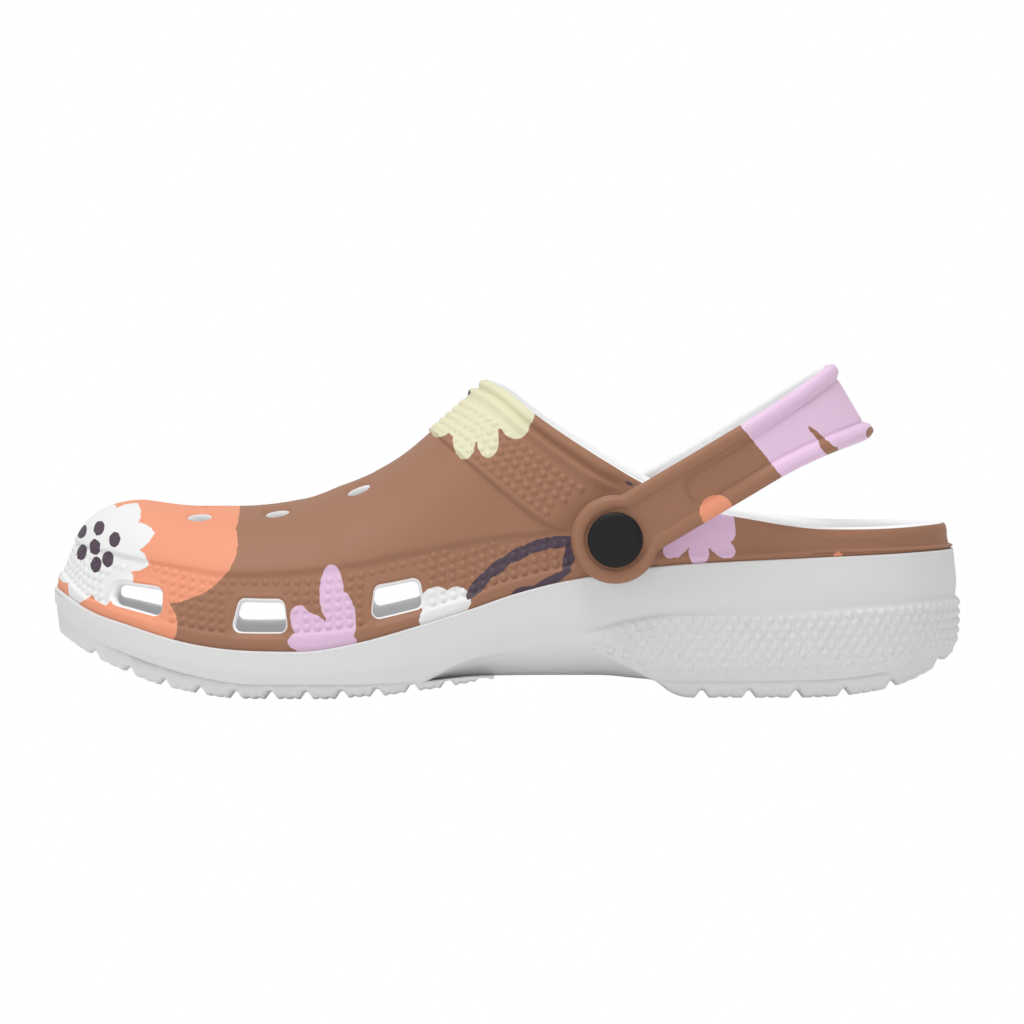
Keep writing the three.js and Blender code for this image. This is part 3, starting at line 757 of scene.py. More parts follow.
def studs(name, points, normals, radius, height, attributes=None):
    """Low round domes, one at each point: closed lenses whose height is h(1 - r^2)^1.2."""
    points = np.asarray(points)
    count = len(points)
    radius = np.broadcast_to(np.asarray(radius, float), count)
    height = np.broadcast_to(np.asarray(height, float), count)
    reach = np.array([0.35, 0.65, 0.88, 1.0])
    rise = (1 - reach ** 2) ** 1.2
    local_r = np.concatenate([[0], np.repeat(reach, STUD_SIDES), [0]])
    local_h = np.concatenate([[1], np.repeat(rise, STUD_SIDES), [0]])
    local_a = np.concatenate([[0], np.tile(circle(STUD_SIDES), len(reach)), [0]])
    sink = np.zeros(len(local_r)) + STUD_SINK
    sink[-1] = STUD_SINK * 2
    helper = np.where(np.abs(normals[:, 2:]) > 0.8, [[1.0, 0, 0]], [[0, 0, 1.0]])
    u = unit(np.cross(helper, normals))
    v = np.cross(normals, u)
    flat = (np.cos(local_a)[None, :, None] * u[:, None]
            + np.sin(local_a)[None, :, None] * v[:, None])
    verts = (points[:, None] + flat * (local_r[None, :] * radius[:, None])[..., None]
             + normals[:, None] * (local_h[None, :] * height[:, None] - sink[None, :])[..., None])
    i = np.arange(STUD_SIDES)
    j = (i + 1) % STUD_SIDES
    tris = [np.stack([i * 0, 1 + i, 1 + j], axis=1)]
    quads = []
    for k in range(len(reach) - 1):
        a = 1 + k * STUD_SIDES
        b = a + STUD_SIDES
        quads.append(np.stack([a + i, b + i, b + j, a + j], axis=1))
    last = 1 + (len(reach) - 1) * STUD_SIDES
    tris.append(np.stack([i * 0 + len(local_r) - 1, last + j, last + i], axis=1))
    start = (np.arange(count) * len(local_r))[:, None, None]
    tri_faces = (np.concatenate(tris)[None] + start).reshape(-1, 3)
    quad_faces = (np.concatenate(quads)[None] + start).reshape(-1, 4)
    spread = {k: np.repeat(np.broadcast_to(v, count), len(local_r))
              for k, v in (attributes or {}).items()}
    return make_object(name, verts.reshape(-1, 3), [quad_faces, tri_faces], spread)


def along_arc(points, first, pitch):
    """Fractional places along a polyline, one every pitch from first, by arc length."""
    steps = np.linalg.norm(np.diff(points, axis=0), axis=1)
    arc = np.concatenate([[0], np.cumsum(steps)])
    return np.interp(np.arange(first, arc[-1], pitch), arc, np.arange(len(arc)))


def row_start(row, side, pitch):
    """Where a staggered row begins: the two sides share the bumps on the middle line."""
    return (row % 2) * pitch / 2 + (pitch if side > 0 and row % 2 == 0 else 0)


def clear_of_ports(x, z, gap):
    """True where a point lies farther than gap outside every port."""
    free = np.ones(x.shape, bool)
    for corners in PORTS:
        shape = port_outline(corners, PORT_GROW + PORT_ROLL + gap)
        middle = np.array(corners).mean(axis=0)
        angles = np.arctan2(shape[:, 1] - middle[1], shape[:, 0] - middle[0])
        reach = np.hypot(*(shape - middle).T)
        order = np.argsort(angles)
        seen = np.arctan2(z - middle[1], x - middle[0])
        limit = np.interp(seen, angles[order], reach[order], period=2 * np.pi)
        free &= np.hypot(x - middle[0], z - middle[1]) > limit
    return free


BAND_PITCH = 3.2
BAND_ROW = 2.7
BAND_FIRST = 1.7
BAND_MARGIN = 1.1
COLLAR_PITCH = 3.0
COLLAR_BUMP_ROWS = [0.12, 0.235, 0.35, 0.465, 0.58]
BUMP_RADIUS = 1.55
BUMP_HEIGHT = 0.64
BAND_ROWS = 9
LINE_POINTS = 900
COLLAR_POINTS = 300


def band_bumps(side):
    """Bumps of a side band, as turns, angles and lifts in rows along the rand."""
    turns = np.linspace(0, turn_at(np.array(BAND_END + 2)), LINE_POINTS)
    s = np.full(turns.shape, side)
    for row in range(BAND_ROWS):
        share = share_on(s, turns, lambda station: rand_line(station) + BAND_FIRST + BAND_ROW * row)
        place = along_arc(dome(s, turns, share), row_start(row, side, BAND_PITCH), BAND_PITCH)
        t, share = at(place, turns), at(place, share)
        p = dome(np.full(t.shape, side), t, share)
        keep = p[:, 2] < crease_line(station_at(p[:, 0])) - BAND_MARGIN
        keep &= clear_of_ports(p[:, 0], p[:, 2], 0.5)
        keep &= np.hypot(p[:, 0] - PIVOT[0], p[:, 2] - PIVOT[2]) > EAR_RADIUS + 1.0
        yield np.stack([t * 0 + side, t, to_phi(share), t * 0], axis=1)[keep]


def collar_bumps(side):
    """Bumps of the collar band, in rows between its front edge and the rim."""
    a = np.linspace(0, 0.97, COLLAR_POINTS)
    s = np.full(a.shape, side)
    front_t, front_phi, rim_t, rim_phi = collar_frame(s, a)
    for row, b in enumerate(COLLAR_BUMP_ROWS):
        t = front_t + (rim_t - front_t) * b
        phi = front_phi + (rim_phi - front_phi) * b
        first = row_start(row, side, COLLAR_PITCH)
        place = along_arc(dome(s, t, to_share(phi)), first, COLLAR_PITCH)
        at_a = at(place, a)
        lift = COLLAR_LIFTS(b) * (1 - smooth(at_a, FADE_FROM, 1.0))
        yield np.stack([at_a * 0 + side, at(place, t), at(place, phi), lift], axis=1)[at_a < 0.87]


def make_bumps():
    """Round bumps of the side bands and of the collar band, standing on the outer skin."""
    spots = [row for side in (-1, 1) for rows in (band_bumps, collar_bumps) for row in rows(side)]
    side, t, phi, lift = np.concatenate(spots).T
    share = to_share(phi)
    n = normal(side, t, share)
    points = dome(side, t, share) + n * lift[:, None]
    return studs("clog_upper_bumps", points, n, BUMP_RADIUS, BUMP_HEIGHT, {"printed": 1.0})


# ---- the sole ----
HEEL_PATCH = 57.0
PATCH_PROUD = 0.8
TURN_INSET = 2.1
UNDER_INSET = 14.0
HEEL_LEAN = 1.3
SOLE_TURNS = 190
WALL_ROWS = (0, 0.03, 0.08, 0.15, 0.25, 0.4, 0.55, 0.7, 0.82, 0.9, 0.94, 0.97, 1.0)
UPRIGHT_ROWS = (0.02, 0.05, 0.1, 0.2, 0.35, 0.5, 0.65, 0.8, 0.9)
# rows by the sole's top edge and down into the tray: inset and height past the top line
LIP_ROWS = [(0.12, -0.7), (0.02, -0.25), (0.1, 0.1), (0.5, 0.3), (1.6, 0.34)]
TRAY_ROWS = [(6.2, 0), (6.7, -0.3), (7.0, -1.0)]


def turn_height(s):
    return np.maximum(wall_turn(s), body_bottom(s) - 0.2) - 5.5 * smooth(s, 95, 100)


def crease_height(s):
    return np.maximum(wall_crease(s), turn_height(s) + 0.6)


def patch_on(s):
    return smooth(s, HEEL_PATCH, HEEL_PATCH + 4)


def lower_inset(s, q):
    """Inset of the wall under the crease; q runs from 0 where it turns under to 1 at the crease."""
    proud = PATCH_PROUD * patch_on(s) * smooth(q, 0.02, 0.25) * (1 - smooth(q, 0.93, 1.0))
    under = 1.35 * smooth(s, 1, 10) * (1 - 0.5 * smooth(s, 93, 100))
    return 0.75 + under * (1 - q) ** 2.6 - proud


def wall_point(side, t, q):
    point, outward = edge(side, t)
    s = station_at(point[..., 0])
    place = point - outward * lower_inset(s, q)[..., None]
    z = turn_height(s) + (crease_height(s) - turn_height(s)) * q
    return np.concatenate([place, z[..., None]], axis=-1)


def ring_frame(count):
    """The plan outline from the toe by the outer side to the heel and back, with its spine."""
    turns = np.concatenate([np.linspace(0, 1, count), np.linspace(1, 0, count)[1:-1]])
    side = np.concatenate([-np.ones(count), np.ones(count - 2)])
    return (*edge(side, turns), spine(turns))


def over_plan(plan, height):
    """A row of plan points, each lifted to the height of a line along the foot."""
    return np.column_stack([plan, height(station_at(plan[:, 0]))])


def ring_body(name, rows):
    grid = np.stack(rows, axis=1)
    return closed_grid(name, np.concatenate([grid, grid[:1]]))


def make_midsole():
    """The sole body: rows of insets and heights round the plan outline, closed on the spine."""
    point, outward, crown = ring_frame(SOLE_TURNS)
    s = station_at(point[:, 0])
    rows = [over_plan(crown, body_bottom), over_plan(point - outward * UNDER_INSET, body_bottom)]

    def add(inset, z):
        inset = np.broadcast_to(inset, s.shape)[:, None]
        rows.append(np.column_stack([point - outward * inset, z]))

    under = rows[1][:, 2]
    turn, crease, top = turn_height(s), crease_height(s), sole_top(s)
    for q in (0.8, 0.6, 0.42, 0.25, 0.1):
        add(TURN_INSET + (UNDER_INSET - TURN_INSET) * q, under + (turn - under) * (1 - q) ** 1.7)
    for q in WALL_ROWS:
        add(lower_inset(s, np.full(s.shape, q)), turn + (crease - turn) * q)
    lean = HEEL_LEAN * smooth(s, 88, 100)
    for h in UPRIGHT_ROWS:
        bulge = 0.75 * (1 - smooth(h, 0.0, 0.3)) + 0.1 * h
        add(bulge + lean * h, crease + (top - crease) * h)
    for inset, rise in LIP_ROWS:
        add(inset + lean, top + rise)
    for inset, rise in TRAY_ROWS:
        add(inset, top + rise)
    rows.append(over_plan(point - outward * 8.5, lambda k: tray_floor(k) + 1.5))
    rows.append(over_plan(point - outward * UNDER_INSET, tray_floor))
    rows.append(over_plan(crown, tray_floor))
    return ring_body("clog_midsole", rows)


HEEL_PITCH = 3.4
HEEL_ROW = 2.75
HEEL_FIRST = 2.2
HEEL_ROWS = 8


def make_heel_bumps():
    """Rows of bumps round the heel under the crease, smaller and flatter towards the bottom."""
    spots = []
    for side in (-1, 1):
        turns = np.linspace(turn_at(np.array(HEEL_PATCH)), 1, LINE_POINTS)
        s = np.full(turns.shape, side)
        stations = foot_station(s, turns)
        tall = crease_height(stations) - turn_height(stations)
        for row in range(HEEL_ROWS):
            q = (tall - HEEL_FIRST - HEEL_ROW * row) / tall
            curve = wall_point(s, turns, np.clip(q, 0, 1))
            ends = along_arc(curve[::-1], row_start(row, side, HEEL_PITCH), HEEL_PITCH)
            place = len(turns) - 1 - ends
            t, q, station = at(place, turns), at(place, q), at(place, stations)
            keep = (q > 0.09) & (q < 0.9) & (station > HEEL_PATCH + 1.2)
            p = wall_point(np.full(t.shape, side), t, np.clip(q, 0, 1))
            n = wall_normal(side, t, np.clip(q, 0.01, 0.99))
            fade = smooth(station, HEEL_PATCH + 1, HEEL_PATCH + 6)
            fade = fade * (0.45 + 0.55 * smooth(q, 0.05, 0.5))
            spots.append(np.column_stack([p, n, 1.3 + 0.25 * fade, 0.72 * fade + 0.12])[keep])
    spots = np.concatenate(spots)
    return studs("clog_heel_bumps", spots[:, :3], spots[:, 3:6], spots[:, 6], spots[:, 7])


def wall_normal(side, t, q):
    """Outward unit normal of the wall under the crease, from differences."""
    s = np.full(t.shape, side)
    du = wall_point(s, np.clip(t + 1e-4, 0, 1), q) - wall_point(s, np.clip(t - 1e-4, 0, 1), q)
    dv = wall_point(s, t, q + 5e-3) - wall_point(s, t, q - 5e-3)
    return unit(np.cross(du, dv) * (-side))


# ---- the treads ----
FRONT_LUGS = 11.5 + 10.6 * np.arange(12) - LENGTH / 2
HEEL_LUGS = 193.5 + 14.3 * np.arange(6) - LENGTH / 2
NOTCH_DEPTH = 2.1
NOTCH_HALF = 2.2
NOTCH_ROOF = 0.6
SCALLOP = 0.35
UNDER_GROOVE = 1.6
GROOVES_AT = [0.08, 0.2, 0.31, 0.33, 0.37, 0.39, 0.5, 0.61, 0.63, 0.67, 0.69, 0.8, 0.92]
GROOVES_CUT = [0, 0, 0, 1, 1, 0, 0, 0, 1, 1, 0, 0, 0]
# rounded lower edge of a tread: how far each level lies inside the wall
TREAD_INSETS = [0.0, 0.12, 0.4, 0.8, 1.5, 2.6]
TREAD_POINTS = 1500
EVEN_PLACES = 90
TIP_PLACES = 14
TIP_LENGTH = 8
TIP_RISE = 3.5


def tread_side(side, inset_at):
    """Curve of one side of the tread: the outline drawn in by an inset that depends on station."""
    t = np.linspace(0, 1, TREAD_POINTS)
    point, outward = edge(np.full(t.shape, side), t)
    return point - outward * inset_at(station_at(point[:, 0]))[:, None]


def notch_rise(x, lugs):
    """Height of the grooves between lugs: a trapezoid at each, and a shallow dip between two."""
    gap = np.abs(x[:, None] - lugs[None, :])
    flank = np.clip((gap - NOTCH_ROOF) / (NOTCH_HALF - NOTCH_ROOF), 0, 1)
    groove = NOTCH_DEPTH * (1 - flank).max(axis=1)
    pitch = lugs[1] - lugs[0]
    foot = np.abs(x[:, None] - (lugs[None, :] + pitch / 2))
    dip = SCALLOP * (1 - smooth(np.abs(foot - 1.5), 0.2, 1.0)).max(axis=1)
    return groove + dip


def tread_inset(s):
    return 2.0 - 0.8 * smooth(s, 93, 100) - 1.2 * (1 - smooth(s, 1, 10))


def tread_places(start_x, end_x, lugs):
    """Places of the sections: at each notch's corners, in each lug's dip, closer at the tips."""
    marks = lugs[:, None] + np.array([-NOTCH_HALF, -NOTCH_ROOF, 0, NOTCH_ROOF, NOTCH_HALF])
    mids = lugs[:, None] + (lugs[1] - lugs[0]) / 2 + np.linspace(-2.5, 2.5, 11)
    tip = TIP_LENGTH * (1 - np.cos(np.linspace(0, np.pi / 2, TIP_PLACES)))
    even = start_x + (end_x - start_x) * np.linspace(0, 1, EVEN_PLACES)
    x = np.concatenate([marks.ravel(), mids.ravel(), even, start_x + tip, end_x - tip])
    x = np.unique(np.round(x[(x >= start_x) & (x <= end_x)], 3))
    return x[np.concatenate([[True], np.diff(x) > 0.02])]


def make_tread(name, low_station, high_station, lugs):
    """A tread pad lofted along the foot: each section is a closed loop with rounded lower corners.

    A station beyond the foot's end stands for the tip of the inset outline.
    """
    curves = [[tread_side(side, lambda s, e=extra: tread_inset(s) + e) for side in (-1, 1)]
              for extra in TREAD_INSETS]
    if low_station < 0:
        starts = [max(curve[:, 0].min() for curve in pair) for pair in curves]
    else:
        starts = [along(low_station)] * len(curves)
    if high_station > 100:
        ends = [min(curve[:, 0].max() for curve in pair) for pair in curves]
    else:
        ends = [along(high_station)] * len(curves)
    x = tread_places(starts[0], ends[0], lugs)
    share = (x - starts[0]) / (ends[0] - starts[0])
    station = station_at(x)
    floor = tread_bottom(station)
    rise = notch_rise(x, lugs)
    tips_up = TIP_RISE * smooth(station, 90, 96) + TIP_RISE * (1 - smooth(station, 2, 10))
    top = np.maximum(body_bottom(station) + 0.3, floor + 0.3) + tips_up
    foot = np.minimum(floor + rise, np.maximum(top - 0.5, floor))
    heights = [top, foot + (top - foot) * 0.62, foot + (top - foot) * 0.3,
               np.minimum(foot + 0.55, top), np.minimum(foot + 0.15, top), foot]

    def level(k, side):
        own_x = starts[k] + (ends[k] - starts[k]) * share
        curve = curves[k][side]
        x_line, y_line = curve[np.argsort(curve[:, 0])].T
        return np.column_stack([own_x, np.interp(own_x, x_line, y_line), heights[k]])

    def between(a, b, f, z):
        return np.column_stack([a[:, 0], a[:, 1] + (b[:, 1] - a[:, 1]) * f, z])

    left, right = ([level(k, side) for k in range(len(curves))] for side in (0, 1))
    under = [between(left[-1], right[-1], f,
                     np.minimum(foot + np.maximum(cut * UNDER_GROOVE - rise, 0), top - 0.1))
             for f, cut in zip(GROOVES_AT, GROOVES_CUT)]
    over = [between(left[0], right[0], f, top) for f in (0.75, 0.5, 0.25)]
    grid = np.stack(left + under + right[::-1] + over, axis=1)
    caps = [np.repeat(grid[k].mean(axis=0)[None, None], grid.shape[1], axis=1) for k in (0, -1)]
    grid = np.concatenate([caps[0], grid, caps[1]])
    return closed_grid(name, np.concatenate([grid, grid[:, :1]], axis=1))


# ---- the footbed ----
FOOTBED_THICK = 3.3
FOOTBED_TURNS = 120
# rows of the liner's underside and rim, and of its top: inset and height over the tray's floor
LINER_BELOW = [(14.3, 0.0), (9.6, 1.5), (9.2, 2.0), (9.1, 3.2), (9.4, 3.9), (10.2, 4.1)]
LINER_ABOVE = [(11.5, 3.8), (13, 3.45), (15, FOOTBED_THICK), (19, FOOTBED_THICK)]
NUB_PITCH = 5.5
NUB_MARGIN = 18
NUB_RADIUS = 1.2
NUB_HEIGHT = 0.75


def make_footbed():
    """Shallow dished liner inside the tray, closed on the spine."""
    point, outward, crown = ring_frame(FOOTBED_TURNS)
    rows = [over_plan(crown, lambda k: tray_floor(k) + CLEARANCE)]
    for inset, rise in LINER_BELOW:
        rows.append(over_plan(point - outward * inset, lambda k: tray_floor(k) + CLEARANCE + rise))
    for inset, rise in LINER_ABOVE:
        rows.append(over_plan(point - outward * inset, lambda k: tray_floor(k) + rise))
    rows.append(over_plan(crown, lambda k: tray_floor(k) + FOOTBED_THICK))
    return ring_body("clog_footbed", rows)


def make_footbed_nubs():
    """Small nubs in staggered rows over the middle of the liner."""
    x, y = np.meshgrid(np.arange(-105, 108, NUB_PITCH), np.arange(-30, 31, NUB_PITCH),
                       indexing="ij")
    y = y + (np.arange(x.shape[0]) % 2)[:, None] * NUB_PITCH / 2
    x, y = x.ravel(), y.ravel()
    left, right = (np.interp(x, *tread_side(side, lambda s: s * 0 + NUB_MARGIN).T)
                   for side in (-1, 1))
    keep = (y > left) & (y < right)
    x, y = x[keep], y[keep]
    z = tray_floor(station_at(x)) + FOOTBED_THICK
    slope = (tray_floor(station_at(x + 1)) - tray_floor(station_at(x - 1))) / 2
    n = unit(np.column_stack([-slope, slope * 0, slope * 0 + 1]))
    return studs("clog_footbed_nubs", np.column_stack([x, y, z]), n, NUB_RADIUS, NUB_HEIGHT)


# ---- the strap, in its own frame: reach along the arm, height across it ----
STRAP_STRAIGHT = 48.0
STRAP_BEND = STRAP_STRAIGHT - 8
ARM_SHARE = 0.45
PANEL_START = 25.3
PANEL_RADIUS = 5.1
BEAD_WIDTH = 4.2
BEAD_HEIGHT = 0.85
PANEL_DEPTH = 0.7
PANEL_GROOVE = 0.5
PANEL_GROOVE_HALF = 0.6
EDGE_RADIUS = 1.6
ARM_COLUMNS = 150
BEND_COLUMNS = 170
# places across half of the strap, closer over the rounded edge, the bead and the panel's groove
HALF_ROWS = np.array([0, 0.04, 0.15, 0.35, 0.6, 0.9, 1.25, 1.6, 2.1, 2.6, 3.1, 3.6, 3.95, 4.2,
                      4.45, 4.75, 5.1, 5.5, 5.9, 6.5, 7.2, 8.2, 9.3, 10.5]) / 10.5


def strap_half(reach, level, flare):
    """Half width of the arm, with the round ear at the pivot taken in."""
    ear = np.sqrt(np.maximum(EAR_RADIUS ** 2 - reach ** 2, 0))
    f = np.maximum(0, (reach - STRAP_STRAIGHT) / (STRAP_REACH - STRAP_STRAIGHT))
    arm = level + (flare - level) * f * f
    return np.where(reach <= 0, ear, np.maximum(ear, arm))


def strap_path(u):
    """Reach, side place and outward direction at u, 0 at one ear and 1 at the other."""
    half = STRAP_HALF - STRAP_THICK / 2
    near = np.minimum(u, 1 - u)
    side = np.where(u < 0.5, -1.0, 1.0)
    w = near / ARM_SHARE
    eased = np.where(w < 0.25, w * w * 2, w - 0.125)
    arm_reach = -EAR_RADIUS + (STRAP_BEND + EAR_RADIUS) * eased / 0.875
    bend = (u - ARM_SHARE) / (1 - 2 * ARM_SHARE) * np.pi
    depth = STRAP_REACH - STRAP_THICK / 2 - STRAP_BEND
    nx = np.sin(bend) * half
    ny = -np.cos(bend) * depth
    size = np.hypot(nx, ny)
    on_arm = near < ARM_SHARE
    reach = np.where(on_arm, arm_reach, STRAP_BEND + depth * np.sin(bend))
    y = np.where(on_arm, side * half, -half * np.cos(bend))
    return reach, y, np.where(on_arm, 0, nx / size), np.where(on_arm, side, ny / size)


def strap_inside(reach, height):
    """Distance in from the arm's long edges, and from the outline with the round ear taken in."""
    arm_top = strap_half(reach, STRAP_ABOVE, STRAP_FLARE_ABOVE) - height
    arm_low = strap_half(reach, STRAP_BELOW, STRAP_FLARE_BELOW) + height
    arm = np.where(reach > 0, np.minimum(arm_top, arm_low), -99)
    ear = EAR_RADIUS - np.hypot(reach, height)
    return arm, np.clip(np.maximum(arm, ear), 0, None)


def strap_rim(inside):
    """Distance of a face beyond the middle surface, rounded off towards the edge."""
    drop = EDGE_RADIUS - np.minimum(inside, EDGE_RADIUS)
    return STRAP_THICK / 2 - EDGE_RADIUS + np.sqrt(np.maximum(EDGE_RADIUS ** 2 - drop ** 2, 0))


def strap_face(reach, height):
    """Distance of the outer face beyond the middle surface.

    Its edge is a quarter circle, a half-ellipse bead follows it, and the panel between the beads
    sinks behind a half-round front end, with a groove round it.
    """
    arm, inside = strap_inside(reach, height)
    f = np.clip((inside - BEAD_WIDTH / 2) / (BEAD_WIDTH / 2), -1, 1)
    bead = BEAD_HEIGHT * np.sqrt(1 - f * f) * smooth(inside, 0, 0.8)
    on_arm = np.minimum(reach - PANEL_START, arm - BEAD_WIDTH - 0.6)
    before = np.minimum(reach - PANEL_START - PANEL_RADIUS, 0)
    round_end = PANEL_RADIUS - np.hypot(before, height * 0.92)
    panel = np.where(reach < PANEL_START + PANEL_RADIUS, np.minimum(round_end, on_arm), on_arm)
    groove = PANEL_GROOVE * np.exp(-(panel / PANEL_GROOVE_HALF) ** 2)
    return strap_rim(inside) + bead - PANEL_DEPTH * smooth(panel, -0.1, 0.45) - groove


def make_strap():
    """The heel strap: one closed band with rounded edges, beads and a sunk panel."""
    u = np.concatenate([np.linspace(0, ARM_SHARE, ARM_COLUMNS),
                        np.linspace(ARM_SHARE, 1 - ARM_SHARE, BEND_COLUMNS)[1:-1],
                        np.linspace(1 - ARM_SHARE, 1, ARM_COLUMNS)])
    reach, y, nx, ny = (value[:, None] for value in strap_path(u))
    across = np.concatenate([HALF_ROWS - 1, 1 - HALF_ROWS[-2::-1]])
    top = strap_half(reach, STRAP_ABOVE, STRAP_FLARE_ABOVE)
    low = strap_half(reach, STRAP_BELOW, STRAP_FLARE_BELOW)
    height = np.where(across > 0, across * top, across * low)
    wide_reach = np.repeat(reach, len(across), axis=1)
    face = strap_face(wide_reach, height)
    back = strap_rim(strap_inside(wide_reach, height)[1])
    out = np.concatenate([face, -back[:, ::-1]], axis=1)
    tall = np.concatenate([height, height[:, ::-1]], axis=1)
    world = strap_to_world(np.stack([reach + nx * out, y + ny * out, tall], axis=-1))
    world = np.concatenate([world, world[:, :1]], axis=1)
    printed = [np.ones_like(face), np.zeros_like(back), np.ones((len(u), 1))]
    printed = np.concatenate(printed, axis=1)
    return closed_grid("clog_strap", world, {"printed": printed.ravel()})


def strap_to_world(local):
    c, s = np.cos(STRAP_ANGLE), np.sin(STRAP_ANGLE)
    x = PIVOT[0] + local[..., 0] * c - local[..., 2] * s
    z = PIVOT[2] + local[..., 0] * s + local[..., 2] * c
    return np.stack([x, STRAP_MIDDLE + local[..., 1], z], axis=-1)


# ---- turned parts on the pivot axis ----
TURNED_SIDES = 72


def turned(name, profile, side, attributes=None):
    """A body turned about the pivot axis from (radius, distance from the middle) points."""
    angles = circle(TURNED_SIDES)
    r, d = np.array(profile, float).T
    x = PIVOT[0] + r[None] * np.cos(angles)[:, None]
    z = PIVOT[2] + r[None] * np.sin(angles)[:, None]
    y = STRAP_MIDDLE + side * np.repeat(d[None], len(angles), axis=0)
    grid = np.stack([x, y, z], axis=-1)
    grid = np.concatenate([grid, grid[:1]])
    layers = {k: np.full(grid.shape[0] * grid.shape[1], v) for k, v in (attributes or {}).items()}
    return closed_grid(name, grid, layers)


SEAT = STRAP_HALF - STRAP_THICK - CLEARANCE
SEAT_THICK = 7.0


def make_cap(side, label):
    """Flat black disc with a rolled edge, and its shank."""
    under = STRAP_HALF + CLEARANCE
    face = under + 2.3
    tip = SEAT - SEAT_THICK - 2.2
    profile = [(0, face - 0.15), (5.2, face - 0.1), (6.3, face), (7.0, face - 0.02),
               (7.6, face - 0.2), (8.05, face - 0.6), (CAP_RADIUS, face - 1.2),
               (CAP_RADIUS, under + 0.3), (8.1, under), (3.5, under), (3.5, tip + 0.4), (3.1, tip),
               (0, tip)]
    return turned("rivet_disc_" + label, profile, side)


def make_back(side, label):
    """Black button that the shank snaps into."""
    outer = SEAT - SEAT_THICK - CLEARANCE
    inner = outer - 3.2
    profile = [(0, inner), (5.8, inner), (6.9, inner + 0.3), (7.5, inner + 1.0), (7.5, outer - 0.2),
               (7.3, outer), (3.8, outer), (3.8, outer - 2.2), (0, outer - 2.2)]
    return turned("rivet_button_" + label, profile, side)


def make_seat(side, label):
    """Foam ring of the upper between the strap's ear and the button."""
    under = SEAT - SEAT_THICK
    profile = [(3.9, under), (9.0, under), (9.0, SEAT - 0.5), (8.85, SEAT - 0.15), (8.5, SEAT),
               (3.9, SEAT), (3.9, under)]
    return turned("pivot_seat_" + label, profile, side, {"printed": 1.0})


# ---- materials ----
NOISE_TO_MM = 0.7
PRINT_THRESHOLD = 0.6


def colour(red, green, blue):
    """Linear colour of 8-bit display values."""
    v = np.array([red, green, blue]) / 255
    linear = np.where(v <= 0.04045, v / 12.92, ((v + 0.055) / 1.055) ** 2.4)
    return [float(c) for c in linear] + [1.0]


BROWN = colour(154, 111, 87)
ORANGE = colour(228, 150, 118)
LILAC = colour(216, 183, 210)
STRAP_LILAC = colour(226, 194, 221)
PURPLE = colour(82, 68, 80)
CREAM = colour(217, 214, 182)
WHITE = colour(226, 226, 226)
FOAM_WHITE = colour(234, 234, 235)
SOLE_GREY = colour(217, 217, 217)
BLACK = colour(15, 15, 16)

# emission of the white foam where no print reaches: painted light that brightens the port walls,
# the rims and the inside of the shoe
PAINTED_FOAM_GLOW = 0.07


